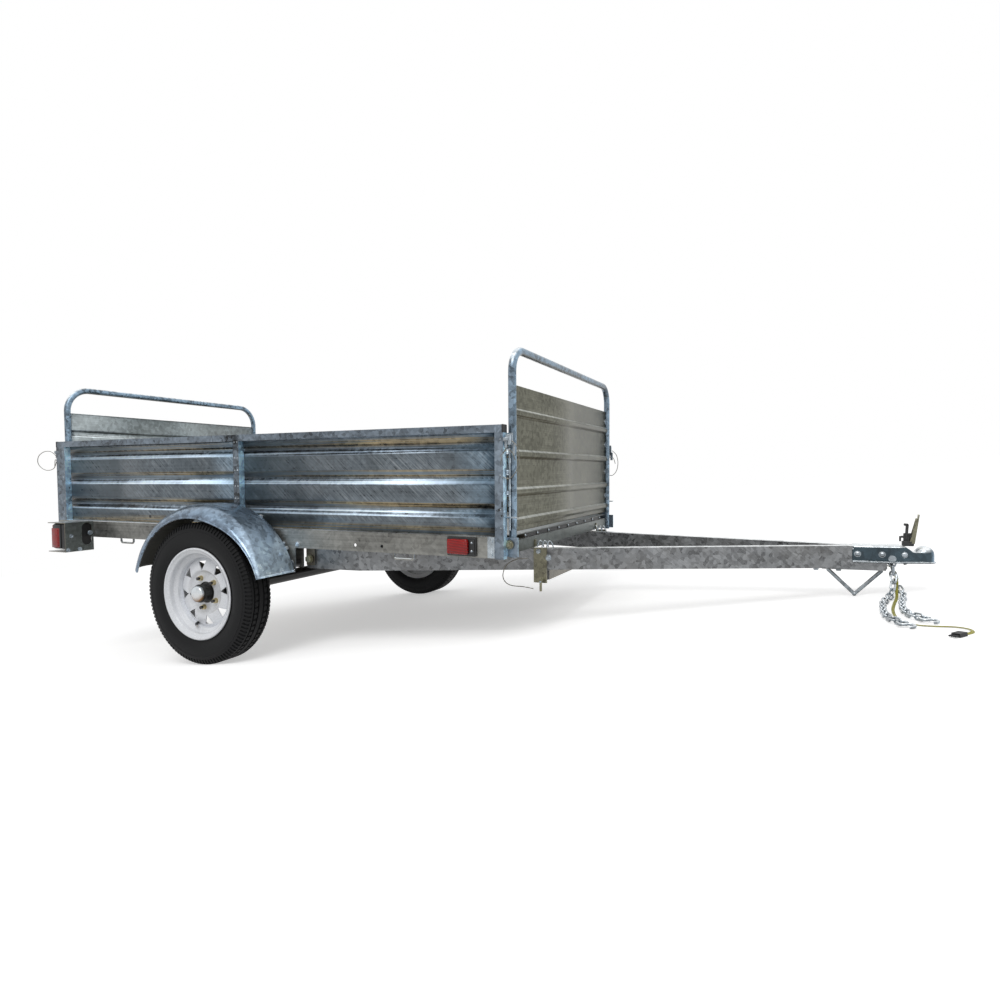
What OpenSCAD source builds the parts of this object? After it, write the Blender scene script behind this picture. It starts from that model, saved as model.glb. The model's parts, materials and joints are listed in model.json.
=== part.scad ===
// Tilting utility trailer: galvanised bed with corrugated side walls, two folding
// gates, a leaf-sprung axle, a V tongue with a ball coupler, chains and wiring.
// Millimetres, +X towards the coupler, +Y to the left, +Z up.

/* [Bed] */
// length of the side walls
body_len = 2266; // [1900:1:2800]
// width over the side walls
body_w = 1272; // [1060:1:1530]
// height of the side walls above the bed rails
wall_h = 361; // [300:1:440]
// depth of the bed's side rails
rail_h = 70; // [58:1:84]
// distance from the axle back to the rear end of the side walls
axle_back = 1096; // [900:1:1320]
// underside of the side rails above the level ground
rail_z = 432; // [400:1:520]

/* [Gates] */
// height of the gate hoops above the rail underside
gate_h = 695; // [560:1:840]
// outside diameter of the gate tube
gate_tube = 25.4; // [21:0.1:30]

/* [Wheels] */
// tyre outside diameter
tyre_od = 531; // [500:1:580]
// tyre section width
tyre_w = 125; // [104:1:145]
// outer rim flange outboard of the side wall
rim_out = 182; // [160:1:215]
// lug circle diameter
lug_pcd = 114.3; // [95:0.1:137]

/* [Tongue] */
// height of the tongue rails
tongue_h = 76; // [63:1:90]
// width of one tongue rail
tongue_w = 38; // [32:1:45]
// ball centre ahead of the axle
ball_x = 2406; // [2200:1:2800]
// depth of the V stand below the tongue
stand_drop = 100; // [84:1:120]
// coupler ball diameter
ball_d = 50.8; // [47.6:0.1:58.7]

/* [Hidden] */
$fn = 64;
wall_t = 3;
hw = body_w/2;
rear_x = -axle_back;
front_x = body_len - axle_back;
rail_w = 38;
rail_top = rail_z + rail_h;
wall_top = rail_top + wall_h;
tyre_r = tyre_od/2;
axle_z = tyre_r;

// side wall
post_d = 27;
post_w = 30;
top_h = 25;
sheet = 1.5;
panel_y = hw - post_d;
groove_d = 18;

mid_x = 8;
bolt_x = [front_x - 582, front_x - 468];
marker_x = front_x - 203;

// gates
gr = gate_tube/2;
gate_y = hw - 47 - gr;
gate_front_x = front_x + 7;
gate_rear_x = rear_x - 6;
hinge_z = rail_z + 44;
gate_top = rail_z + gate_h;
bend_r = 42;
pin_r = 6;
run = 0.05;

// deck
plank_n = 10;
plank = 2*(hw - 61)/plank_n;
deck_t = 18;
deck_y = plank*plank_n/2;
deck_front = front_x + 3;
deck_rear = rear_x - 2;

// springs and axle
spring_y = hw - 24;
spring_w = 38;
eye_x = 290;
eye_z = rail_z - 62;
axle_r = 25;
spindle_r = 12.7;

// wheels
flange_r = 171.5;
seat_r = 152.4;
well_r = 132;
rim_w = 112;
wheel_y = hw + rim_out - rim_w/2;
face_y = wheel_y + 6;
hub_r = 31;
fender_r = 354;
fender_z = 246;
fender_x = -16;
fender_flat = 105;
fender_drop = 50;

// tongue
piv_x = 345;
tongue_bot = rail_z - 7 - tongue_h;
tongue_top = tongue_bot + tongue_h;
piv_z = tongue_bot + tongue_h/2;
rise = 0.9;
rail_y = spring_y - spring_w/2 - 5 - 6 - tongue_w/2;
tail_over = 25;
bend1_x = 560;
nose_x = ball_x - 236;
nose_end = ball_x - 108;
nose_y = tongue_w/2 + 0.25;
cup_r = ball_d/2 + 0.6;
coup_w = 2*tongue_w + 2;
coup_x = ball_x - 211;
stand_x = ball_x - 202;
stand_r = 6.35;
knuckle_r = 7.4;
stand_half = 87;

// stance: tyres and stand on the floor
sc_z = tongue_bot - stand_drop + knuckle_r;
sdx = stand_x - piv_x;
sdz = sc_z - piv_z;
sx = piv_x + sdx*cos(rise) - sdz*sin(rise);
sz = piv_z + sdx*sin(rise) + sdz*cos(rise);
arm = sqrt(sx*sx + (axle_z - sz)*(axle_z - sz));
park = asin((tyre_r - knuckle_r)/arm) - atan2(axle_z - sz, sx);
shift_x = -703.85;
lift_z = tyre_r - axle_z*cos(park);

// safety chains: wire radius, inner length and width of a link, links in a chain
link_r = 3;
link_in = 30;
link_gap = 12;
link_n = 19;
pitch = link_in - 0.7;
chain_bolt_r = 5;
hook_r = 4;

// routes on the floor of the parked trailer, from the coupler's cross bolt
chain_right = [[1642, -26, 128.7], [1642, -29, 99], [1641, -37, 70], [1635, -52, 44],
  [1627, -74, 25], [1619, -100, 14], [1607, -130, 9.9], [1597, -160, 9.7], [1585, -210, 9.7],
  [1577, -280, 9.7], [1573, -350, 10.6], [1574, -410, 12], [1582, -455, 12.6],
  [1596, -494, 12.6], [1635, -560, 12.6]];
chain_left = [[1642, 26, 128.7], [1642, 22, 99], [1643, 13, 70], [1646, -2, 44],
  [1651, -24, 25], [1655, -52, 14], [1656, -82, 9.9], [1653, -115, 9.7], [1642, -170, 9.7],
  [1632, -240, 9.7], [1626, -310, 10.7], [1627, -370, 12], [1637, -415, 12.6],
  [1655, -450, 12.6], [1700, -510, 12.6]];
// flat four-wire harness from the mouth of the right tongue rail to its plug
wire_r = 4;
wire = [[1627, -10, 101], [1636, -10, 96], [1644, -11, 88], [1649, -14, 76], [1649, -20, 63],
  [1649, -30, 48], [1645, -44, 34], [1641, -62, 21], [1638, -84, 10], [1633, -110, 5],
  [1625, -150, 4.4], [1615, -205, 4.4], [1605, -270, 4.4], [1600, -335, 4.4],
  [1601, -395, 4.4], [1612, -450, 4.4], [1638, -494, 4.4], [1677, -515, 4.4],
  [1715, -528, 4.4], [1739, -556, 4.4], [1739, -592, 4.4], [1715, -615, 4.4]];

// placing
module parked() {
  translate([shift_x, 0, lift_z])
    rotate([0, park, 0])
      children();
}
module tongue_set() {
  parked()
    translate([piv_x, 0, piv_z])
      rotate([0, -rise, 0])
        translate([-piv_x, 0, -piv_z])
          children();
}
module box(x0, x1, y0, y1, z0, z1) {
  translate([x0, y0, z0])
    cube([x1 - x0, y1 - y0, z1 - z0]);
}
module rod_y(x, z, y0, y1, r) {
  translate([x, y0, z])
    rotate([-90, 0, 0])
      cylinder(r = r, h = y1 - y0);
}
module rod_x(y, z, x0, x1, r) {
  translate([x0, y, z])
    rotate([0, 90, 0])
      cylinder(r = r, h = x1 - x0);
}
module sided(s) {
  if (s > 0) children();
  else mirror([0, 1, 0]) children();
}

// side rail with its spring hangers and tie-down loops, left side
module hanger(x) {
  for (y = [spring_y - spring_w/2 - 5, spring_y + spring_w/2 + 1])
    difference() {
      box(x - 22, x + 22, y, y + 4, eye_z - 18, rail_z + 1);
      rod_y(x, eye_z, y - 1, y + 5, 8);
    }
  rod_y(x, eye_z, spring_y - spring_w/2 - 5, spring_y + spring_w/2 + 5, 8);
}
module loop(x) {
  w = 40;
  r = 4;
  y = hw - 12;
  translate([x - w, y, rail_z - 10])
    cylinder(r = r, h = 11);
  translate([x + w, y, rail_z - 10])
    cylinder(r = r, h = 11);
  rod_x(y, rail_z - 20, x - w + 10, x + w - 10, r);
  for (s = [-1, 1])
    translate([x + s*(w - 10), y, rail_z - 10])
      rotate([90, 0, 0])
        intersection() {
          rotate_extrude()
            translate([10, 0])
              circle(r = r);
          translate([s > 0 ? 0 : -20, -20, -10])
            cube([20, 20, 20]);
        }
}
module side_rail() {
  difference() {
    box(rear_x, front_x - post_w, hw - rail_w, hw, rail_z, rail_top);
    box(rear_x - 1, front_x, hw - rail_w - 1, hw - wall_t, rail_z + wall_t, rail_top - wall_t);
    for (x = bolt_x)
      rod_y(x, rail_z + 22, hw - wall_t - 1, hw + 1, 6);
  }
  box(gate_rear_x - 26, rear_x + 30, gate_y + gr + 5, hw - rail_w + 0.5, rail_z, rail_top - 2);
  gate_bolt(gate_rear_x);
  hanger(eye_x);
  hanger(-eye_x);
  loop(front_x - 385);
  loop(rear_x + 456);
}

// cross rails
module tee(x0, x1, x2, d) {
  // x0..x1 is full width, x1..x2 stops inside the gate posts
  y0 = hw - wall_t - d;
  y1 = gate_y - gr - 16 - d;
  polygon([[x0 + d, -y0], [x1 - d, -y0], [x1 - d, -y1], [x2 - d, -y1],
           [x2 - d, y1], [x1 - d, y1], [x1 - d, y0], [x0 + d, y0]]);
}
module end_rail(len) {
  // local x runs towards the end of the bed, len is the outer face
  z0 = rail_z + 12;
  z1 = rail_top - deck_t;
  translate([0, 0, z0])
    difference() {
      linear_extrude(z1 - z0)
        tee(len - 94, len - 52, len, 0);
      translate([0, 0, wall_t])
        linear_extrude(z1 - z0 - 2*wall_t)
          tee(len - 94, len - 52, len, wall_t);
    }
}
module front_cross_rail() {
  end_rail(front_x + 7);
}
module rear_cross_rail() {
  mirror([1, 0, 0])
    end_rail(-rear_x + 2);
}
module cross_members() {
  z1 = rail_top - deck_t;
  z0 = rail_z + 6;
  for (x = [rear_x + 370, -140, piv_x, front_x - 410])
    difference() {
      box(x - 20, x + 20, -hw + wall_t, hw - wall_t, z0, z1);
      box(x - 17, x + 17, -hw, hw, z0 + 3, z1 - 3);
    }
  // ears that carry the tilt pivot
  for (s = [-1, 1])
    scale([1, s, 1]) {
      for (y = [rail_y - tongue_w/2 - 8, rail_y + tongue_w/2 + 3])
        box(piv_x - 20, piv_x + 20, y, y + 5, piv_z - 24, z0 + 0.5);
      rod_y(piv_x, piv_z, rail_y - tongue_w/2 - 12, rail_y + tongue_w/2 + 9.5, 8);
    }
}
module floor_deck() {
  x0 = deck_rear;
  x1 = deck_front;
  difference() {
    translate([x0, 0, 0])
      rotate([90, 0, 90])
        linear_extrude(x1 - x0)
          union() {
            translate([-deck_y, rail_top - 2])
              square([2*deck_y, 2]);
            for (i = [0:plank_n])
              translate([-deck_y + i*plank - (i == 0 ? 0 : i == plank_n ? 3 : 1.5), rail_top - deck_t])
                square([3, deck_t - 1]);
          }
    // room at the corners for the gates' feet as they swing
    for (s = [-1, 1])
      scale([1, s, 1]) {
        box(gate_front_x - 52, front_x + 100, gate_y - gr - 6, hw, rail_z, rail_top + 1);
        box(rear_x - 100, gate_rear_x + 52, gate_y - gr - 6, hw, rail_z, rail_top + 1);
      }
  }
}

// side wall, left side
module corrugated(pts, t, len) {
  // sheet of thickness t that follows pts, extruded along len
  n = len(pts);
  back = [for (i = [0:n - 1]) [pts[n - 1 - i][0] - t, pts[n - 1 - i][1]]];
  linear_extrude(len)
    polygon(concat(pts, back));
}
module wall_panel(x0, x1) {
  z0 = rail_top;
  z1 = wall_top - top_h;
  p = (z1 - z0)/3.05;
  pts = [[0, z1], [0, z1 - 8], [-groove_d, z1 - 30], [-groove_d, z1 - 38], [0, z1 - 60],
         [0, z1 - p - 8], [-groove_d, z1 - p - 30], [-groove_d, z1 - p - 38], [0, z1 - p - 60],
         [0, z1 - 2*p - 8], [-groove_d, z1 - 2*p - 30], [-groove_d, z1 - 2*p - 38],
         [0, z1 - 2*p - 60], [0, z0]];
  translate([x0, panel_y, 0])
    rotate([90, 0, 90])
      corrugated(pts, sheet, x1 - x0);
}
module wall_panels() {
  wall_panel(rear_x + 22, mid_x + post_w/2 - 0.5);
  wall_panel(mid_x + post_w/2 + 0.5, front_x - 24);
}
module post(x, w, z0) {
  difference() {
    box(x, x + w, panel_y, hw, z0, wall_top - top_h);
    box(x + 2.5, x + w - 2.5, panel_y + 2.5, hw - 2.5, z0 - 1, wall_top - top_h - 3);
  }
}
module gate_plate(x0, x1, y1) {
  // bracket plate for a gate's hinge bolt
  box(x0, x1, gate_y + gr + 5, y1, rail_z + 4, rail_z + 66);
}
module gate_bolt(x) {
  y0 = gate_y - gr - 7;
  rod_y(x, hinge_z, y0, gate_y + gr + 10.5, pin_r);
  translate([x, gate_y + gr + 10, hinge_z])
    rotate([-90, 0, 0])
      cylinder(r = 11, h = 7, $fn = 6);
  rod_y(x, hinge_z, y0 - 6, y0 + 1, 10);
}
module wall_frame() {
  difference() {
    box(rear_x, front_x, panel_y - 3, hw, wall_top - top_h, wall_top);
    box(rear_x - 1, front_x + 1, panel_y - 1, hw - 2, wall_top - top_h + 2, wall_top - 2);
  }
  post(rear_x, 2*post_w, rail_top);
  post(mid_x, post_w, rail_top);
  post(front_x - post_w, post_w, rail_z - 2);
  gate_plate(front_x - post_w + 0.5, front_x - 2, panel_y + 1);
  gate_plate(front_x - 3, front_x + 34, gate_y + gr + 10);
  gate_bolt(gate_front_x);
}

// axle and springs
module axle() {
  y1 = wheel_y - rim_w/2 - 6;
  rod_y(0, axle_z, -y1, y1, axle_r);
  for (s = [-1, 1])
    scale([1, s, 1])
      rod_y(0, axle_z, y1 - 1, face_y + 26, spindle_r);
}
module leaf(r0, t, half) {
  // one leaf as an arc of a large ring, its middle at the axle
  translate([0, 0, axle_z + axle_r + 14])
    intersection() {
      translate([0, 0, r0])
        rotate([-90, 0, 0])
          difference() {
            cylinder(r = r0, h = spring_w, $fn = 200);
            translate([0, 0, -1])
              cylinder(r = r0 - t, h = spring_w + 2, $fn = 200);
          }
      translate([-half, -1, -5])
        cube([2*half, spring_w + 2, 200]);
    }
}
module leaf_spring() {
  s = eye_z - 14 - (axle_z + axle_r + 14);
  rr = (eye_x*eye_x + s*s)/(2*s);
  translate([0, spring_y - spring_w/2, 0]) {
    leaf(rr, 7, eye_x - 9);
    translate([0, 0, -6.8])
      leaf(rr, 7, 190);
    translate([0, 0, -13.6])
      leaf(rr, 7, 110);
  }
  // axle clamp: plate over the leaves, rods and plate under the axle tube
  z1 = axle_z + axle_r + 21;
  z0 = axle_z - axle_r - 8;
  box(-42, 42, spring_y - 34, spring_y + 34, z1 - 0.5, z1 + 6);
  box(-42, 42, spring_y - 34, spring_y + 34, z0, z0 + 7.8);
  for (x = [-33, 33])
    for (y = [spring_y - 27, spring_y + 27])
      translate([x, y, z0 - 8])
        cylinder(r = 5, h = z1 - z0 + 20);
  for (x = [-eye_x, eye_x])
    difference() {
      rod_y(x, eye_z, spring_y - spring_w/2, spring_y + spring_w/2, 15);
      rod_y(x, eye_z, spring_y - spring_w/2 - 1, spring_y + spring_w/2 + 1, 8.2);
    }
}

// fender, left side: flat by the wall, crowned over the tyre, with a rolled lip
function crown(o) = concat(
  [[fender_r - 13 - o, 0], [fender_r - 4 - o, 16], [fender_r - 1 - o, 38]],
  [for (t = [0:7.5:90]) [fender_r - o - (fender_drop - o)*(1 - cos(t)),
                         fender_flat + (rim_out + 10 - fender_flat - o)*sin(t)]]);
module fender() {
  a = 73.8;
  out = crown(0);
  in = crown(1.8);
  translate([fender_x, hw, fender_z])
    rotate([-90, 0, 0])
      intersection() {
        rotate_extrude($fn = 160)
          union() {
            polygon(concat(out, [for (i = [len(in) - 1:-1:0]) in[i]]));
            translate([fender_r - fender_drop, rim_out + 9])
              circle(r = 4);
          }
        linear_extrude(2*rim_out)
          polygon([[0, 0], [-500*sin(a), -500*cos(a)], [-500, -700], [500, -700],
                   [500*sin(a), -500*cos(a)]]);
      }
}

// lights, left side: tail light guard set back from the rear end
tl_x = rear_x + 246;
tl_w = 125;
tl_depth = 117;
tl_sheet = 3;
tl_slot_r = 22;
module tail_light_bracket() {
  z0 = rail_z - 57;
  z1 = rail_top + 1;
  difference() {
    box(tl_x - tl_sheet, tl_x, hw, hw + tl_w, z0, z1);
    // tall slot with round ends, near the rail
    for (z = [rail_z - 10, rail_z + 44])
      rod_x(hw + 8 + tl_slot_r, z, tl_x - tl_sheet - 1, tl_x + 1, tl_slot_r);
    box(tl_x - tl_sheet - 1, tl_x + 1, hw + 8, hw + 8 + 2*tl_slot_r, rail_z - 10, rail_z + 44);
  }
  // plates above and below the light
  box(tl_x - tl_depth, tl_x, hw, hw + tl_w, z1 - tl_sheet, z1);
  box(tl_x - tl_depth, tl_x, hw, hw + tl_w, z0, z0 + tl_sheet);
}
module tail_light() {
  z0 = rail_z - 44;
  // housing, rear lens and the lens on its outer side
  box(tl_x - 89, tl_x - tl_sheet - 0.4, hw + 4, hw + tl_w - 3, z0, rail_top - 3);
  box(tl_x - 105, tl_x - 88, hw + 6, hw + tl_w - 4, z0 + 14, rail_z + 40);
  box(tl_x - 90, tl_x - 37, hw + tl_w - 5, hw + tl_w + 5, z0 + 6, rail_z + 47);
}
module side_marker() {
  box(marker_x, marker_x + 108, hw + 0.2, hw + 9, rail_z + 4, rail_z + 67);
  box(marker_x + 6, marker_x + 83, hw + 8, hw + 24, rail_z + 10, rail_z + 61);
}

// gate latches on the wall posts, left side
module gate_latch(x, s) {
  z = rail_z + 383;
  x0 = x - s*27;
  x1 = x + s*14;
  // plate on the wall post, block beyond the post, and the pull pin drawn just clear of the gate
  box(min(x0, x1), max(x0, x1), panel_y - 4, panel_y - 0.2, z - 22, z + 22);
  box(x - 7 + 2*s, x + 7 + 2*s, panel_y - 1, panel_y + 15, z - 15, z + 15);
  rod_y(x, z, gate_y + gr + 6, panel_y + 29, 5);
  translate([x, panel_y + 22, z - 26])
    cylinder(r = 4, h = 28);
}
module front_gate_latches() {
  for (s = [-1, 1]) scale([1, s, 1]) gate_latch(gate_front_x, 1);
}
module rear_gate_latches() {
  for (s = [-1, 1]) scale([1, s, 1]) gate_latch(gate_rear_x, -1);
}

// plates that hang from the front cross rail beside the tongue and take the tilt pins
function v_y(x) = rail_y - (x - bend1_x)*(rail_y - nose_y)/(nose_x - bend1_x);
latch_x = front_x + 40;
module tilt_latch_plates() {
  y0 = v_y(front_x) + tongue_w/2 + 12;
  for (s = [-1, 1])
    scale([1, s, 1]) {
      box(front_x + 7.2, latch_x + 16, y0, y0 + 6, rail_z - 112, rail_z + 12);
      box(front_x + 7.2, front_x + 13, y0 - 10, y0 + 1, rail_z + 14, rail_z + 40);
      // pull pin with its L handle
      rod_y(latch_x, tongue_bot - 18, y0 - 1, y0 + 24, 6);
      translate([latch_x, y0 + 22, tongue_bot - 56])
        cylinder(r = 4.5, h = 40);
    }
}

// gates, local frame: the hoop stands on x = 0
module hoop() {
  h = gate_top - rail_z - gate_tube/2;
  difference() {
    hoop_solid(gr, h);
    hoop_solid(gr - 2, h);
    for (s = [-1, 1])
      translate([0, s*gate_y - gr - 1, hinge_z])
        rotate([-90, 0, 0])
          cylinder(r = pin_r + run, h = 2*gr + 2);
  }
}
module hoop_solid(r, h) {
  e = r < gr ? 1 : 0;
  for (s = [-1, 1])
    scale([1, s, 1]) {
      translate([0, gate_y, rail_z - e])
        cylinder(r = r, h = h - bend_r + e);
      translate([0, gate_y - bend_r, rail_z + h - bend_r])
        rotate([90, 0, 90])
          rotate_extrude(angle = 90)
            translate([bend_r, 0])
              circle(r = r);
    }
  translate([0, -gate_y + bend_r, rail_z + h])
    rotate([-90, 0, 0])
      cylinder(r = r, h = 2*gate_y - 2*bend_r);
}
gp_h = 31;
module gate_sheet(s) {
  z0 = rail_top + 10;
  z1 = rail_z + 568;
  zs = [rail_z + 475, rail_z + 339, rail_z + 213, rail_z + 113];
  pts = concat([[0, z1]],
    [for (z = zs) each [[0, z + gp_h/2], [s*11, z + gp_h/2 - 9], [s*11, z - gp_h/2 + 9], [0, z - gp_h/2]]],
    [[0, z0]]);
  translate([-s*5, gate_y - gr - 0.5, 0])
    rotate([90, 0, 0])
      linear_extrude(2*(gate_y - gr - 0.5))
        polygon(concat(pts, [for (i = [len(pts) - 1:-1:0]) [pts[i][0] - s*sheet, pts[i][1]]]));
}
module front_gate_frame() {
  translate([gate_front_x, 0, 0]) hoop();
}
module rear_gate_frame() {
  translate([gate_rear_x, 0, 0]) hoop();
}
module front_gate_panel() {
  translate([gate_front_x, 0, 0]) gate_sheet(1);
}
module rear_gate_panel() {
  translate([gate_rear_x, 0, 0]) gate_sheet(-1);
}

// wheels, left side: profiles are radius against the distance outboard of the wheel plane
module turned() {
  translate([0, wheel_y, axle_z])
    rotate([-90, 0, 0])
      rotate_extrude($fn = 180)
        children();
}
module tyre() {
  w = tyre_w/2;
  b = rim_w/2 - 7.2;
  turned()
    polygon([[seat_r, -b], [173, -b], [182, -b - 6], [205, -w], [232, -w + 2], [252, -w + 8],
             [tyre_r - 3, -w + 13], [tyre_r, -w + 20], [tyre_r, w - 20], [tyre_r - 3, w - 13],
             [252, w - 8], [232, w - 2], [205, w], [182, b + 6], [173, b], [seat_r, b],
             [seat_r, b - 12], [173, b - 8], [205, w - 9], [232, w - 11], [248, w - 17],
             [252, w - 26], [252, -w + 26], [248, -w + 17], [232, -w + 11], [205, -w + 9],
             [173, -b + 8], [seat_r, -b + 12]]);
}
module rim() {
  h = rim_w/2;
  difference() {
    turned()
      polygon([[60, h], [flange_r, h], [flange_r, h - 4], [flange_r - 5, h - 7], [seat_r, h - 7],
               [seat_r, h - 26], [well_r + 3, h - 32], [well_r + 3, -h + 40], [seat_r, -h + 30],
               [seat_r, -h + 7], [flange_r - 5, -h + 7], [flange_r, -h + 4], [flange_r, -h],
               [60, -h]]);
    turned()
      polygon([[50, h + 1], [flange_r - 7, h + 1], [flange_r - 8, h], [seat_r - 3, h - 5],
               [seat_r - 3, h - 24], [well_r, h - 30], [well_r, -h + 37],
               [seat_r - 3, -h + 27.5], [seat_r - 3, -h + 5], [flange_r - 8, -h],
               [flange_r - 7, -h - 1], [50, -h - 1]]);
  }
  // disc with lug holes and eight vents
  difference() {
    turned()
      polygon([[40.5, 6], [76, 6], [86, 14], [122, 8], [well_r + 1, 0], [well_r + 1, 4],
               [124, 12], [86, 18], [74, 10], [40.5, 10]]);
    for (i = [0:4])
      rotate_hole(115 - 72*i, lug_pcd/2, 7);
    for (i = [0:7])
      vent(i*45 + 7);
  }
}
module rotate_hole(a, d, r) {
  translate([d*cos(a), wheel_y - 5, axle_z + d*sin(a)])
    rotate([-90, 0, 0])
      cylinder(r = r, h = 40);
}
module vent(a) {
  translate([0, wheel_y - 10, axle_z])
    rotate([-90, 0, 0])
      rotate([0, 0, -a])
        linear_extrude(40)
          polygon([[90, 0], [114, -16], [119, 0], [114, 16]]);
}
module hub() {
  turned()
    polygon([[spindle_r + run, -40], [38, -40], [38, -2], [70, -2], [70, 5.9], [40, 5.9],
             [hub_r, 8], [hub_r, 44], [spindle_r + run, 44]]);
  // grease cap
  turned()
    polygon([[0, 44], [29, 44], [29, 52], [25, 57], [0, 58]]);
  for (i = [0:4])
    stud(115 - 72*i);
}
module stud(a) {
  translate([lug_pcd/2*cos(a), wheel_y + 5, axle_z + lug_pcd/2*sin(a)])
    rotate([-90, 0, 0])
      cylinder(r = 6, h = 24);
}

// tongue, left side
function plan(o) = let (
  k = tan(atan((rail_y - nose_y)/(nose_x - bend1_x))/2)) [
  [piv_x - tail_over, rail_y + o], [bend1_x + o*k, rail_y + o],
  [nose_x + o*k, nose_y + o], [nose_end, nose_y + o]];
module rail_plan(w) {
  a = plan(w);
  b = plan(-w);
  polygon(concat(a, [b[3], b[2], b[1], b[0]]));
}
module tongue_rail() {
  difference() {
    translate([0, 0, tongue_bot])
      linear_extrude(tongue_h)
        rail_plan(tongue_w/2);
    difference() {
      translate([0, 0, tongue_bot + 3])
        linear_extrude(tongue_h - 6)
          rail_plan(tongue_w/2 - 3);
      rod_y(piv_x, piv_z, rail_y - tongue_w, rail_y + tongue_w, 14);
    }
    rod_y(piv_x, piv_z, rail_y - tongue_w, rail_y + tongue_w, 8 + run);
  }
}
module tongue_cross_tube() {
  y1 = v_y(latch_x) + tongue_w/2 + 6;
  difference() {
    box(latch_x - 16, latch_x + 16, -y1, y1, tongue_bot - 34, tongue_bot - 2);
    box(latch_x - 13, latch_x + 13, -y1 - 1, y1 + 1, tongue_bot - 31, tongue_bot - 5);
  }
  for (s = [-1, 1])
    scale([1, s, 1])
      box(latch_x - 14, latch_x + 14, v_y(latch_x) - 12, v_y(latch_x) + 12, tongue_bot - 2.5, tongue_bot);
}
module nose_plate() {
  box(stand_x - stand_half - 14, nose_end - 3, -tongue_w - 0.25, tongue_w + 0.25,
      tongue_bot - 5, tongue_bot);
}
module coupler() {
  z1 = tongue_top + 3;
  z0 = z1 - 57;
  w = coup_w/2 + 3;
  difference() {
    union() {
      box(coup_x, ball_x - 62, -w, w, z0, z1);
      // neck and dome
      translate([0, 0, z0])
        linear_extrude(z1 - z0 - 8)
          polygon([[ball_x - 62.5, -w], [ball_x - 30, -cup_r - 4], [ball_x, -cup_r - 4],
                   [ball_x, cup_r + 4], [ball_x - 30, cup_r + 4], [ball_x - 62.5, w]]);
      translate([ball_x, 0, z0])
        cylinder(r = cup_r + 4, h = 26);
      translate([ball_x, 0, z0 + 26])
        sphere(r = cup_r + 4);
      // turned-out skirt
      box(coup_x, ball_x - 62, -w - 9, w + 9, z0, z0 + 3);
      translate([0, 0, z0])
        linear_extrude(3)
          polygon([[ball_x - 62.5, -w - 9], [ball_x, -cup_r - 9], [ball_x, cup_r + 9],
                   [ball_x - 62.5, w + 9]]);
      translate([ball_x, 0, z0])
        cylinder(r = cup_r + 9, h = 3);
    }
    box(coup_x - 1, ball_x - 65, -coup_w/2, coup_w/2, z0 - 1, z1 - 3);
    translate([ball_x, 0, z0 - 5])
      cylinder(r = cup_r, h = 31);
    translate([ball_x, 0, z0 + 26])
      sphere(r = cup_r);
    translate([ball_x - 66, -18, z0 - 1])
      cube([66, 36, 40]);
  }
  // cross bolt that the safety chains hang on
  rod_y(nose_end + 14, z0 + 14, -w - 4, w + 4, chain_bolt_r);
}
module coupler_lever() {
  z1 = tongue_top + 3;
  x = ball_x - 46;
  // pivot block, lever and trigger
  box(x - 24, x + 16, -12, 12, z1, z1 + 14);
  translate([x + 2, 0, z1 + 8])
    rotate([0, 8, 0])
      translate([-6, -13, 0])
        cube([12, 26, 96]);
  translate([x - 18, 0, z1 + 10])
    rotate([0, -14, 0])
      translate([-5, -8, 0])
        cube([10, 16, 54]);
}
leg_rise = tongue_bot - 4.5 - sc_z;
leg_tilt = atan2(leg_rise, stand_half);
module tongue_stand() {
  // bent rod in the centre plane, with a knuckle at the bend
  len = leg_rise/sin(leg_tilt) - stand_r/tan(leg_tilt);
  translate([stand_x, 0, sc_z]) {
    sphere(r = knuckle_r);
    for (a = [leg_tilt, 180 - leg_tilt])
      rotate([0, 90 - a, 0])
        cylinder(r = stand_r, h = len);
  }
}

// safety chains: links end to end on a route, each turned a quarter from the last
function seg(p, i) = norm(p[i + 1] - p[i]);
function at(p, s, i = 0) = i > len(p) - 3 || s <= seg(p, i)
  ? p[i] + (p[i + 1] - p[i])*s/seg(p, i) : at(p, s - seg(p, i), i + 1);
module along(a, b, roll) {
  v = b - a;
  translate((a + b)/2)
    rotate([0, -asin(v[2]/norm(v)), atan2(v[1], v[0])])
      rotate([roll, 0, 0])
        children();
}
module ring(r, wire, a) {
  rotate_extrude(angle = a)
    translate([r, 0])
      circle(r = wire);
}
module link() {
  c = link_gap/2 + link_r;
  s = (link_in - link_gap)/2;
  for (m = [0, 1])
    mirror([m, 0, 0])
      translate([s, 0, 0])
        rotate([0, 0, -90])
          ring(c, link_r, 180);
  for (y = [-c, c])
    rod_x(y, 0, -s, s, link_r);
}
module chain(route) {
  for (i = [0:link_n - 1])
    along(at(route, i*pitch), at(route, (i + 1)*pitch),
          90*i + min(45, 9*i) + max(0, 9*(i - link_n + 6)))
      link();
  // S hook, its closed eye through the last link
  a = at(route, link_n*pitch);
  b = route[len(route) - 1];
  v = b - a;
  translate(a)
    rotate([0, 9, atan2(v[1], v[0])])
      translate([-hook_r - 0.4, 0, 0])
        s_hook(12);
}
module s_hook(r) {
  translate([r, -1, 0])
    rotate([0, 0, 60])
      ring(r, hook_r, 300);
  rod_y(2*r, 0, -1, 1, hook_r);
  translate([2*r, 0, 0])
    sphere(r = hook_r + 0.5);
  translate([3*r, 1, 0])
    rotate([0, 0, -40])
      ring(r, hook_r, 220);
}

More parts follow.
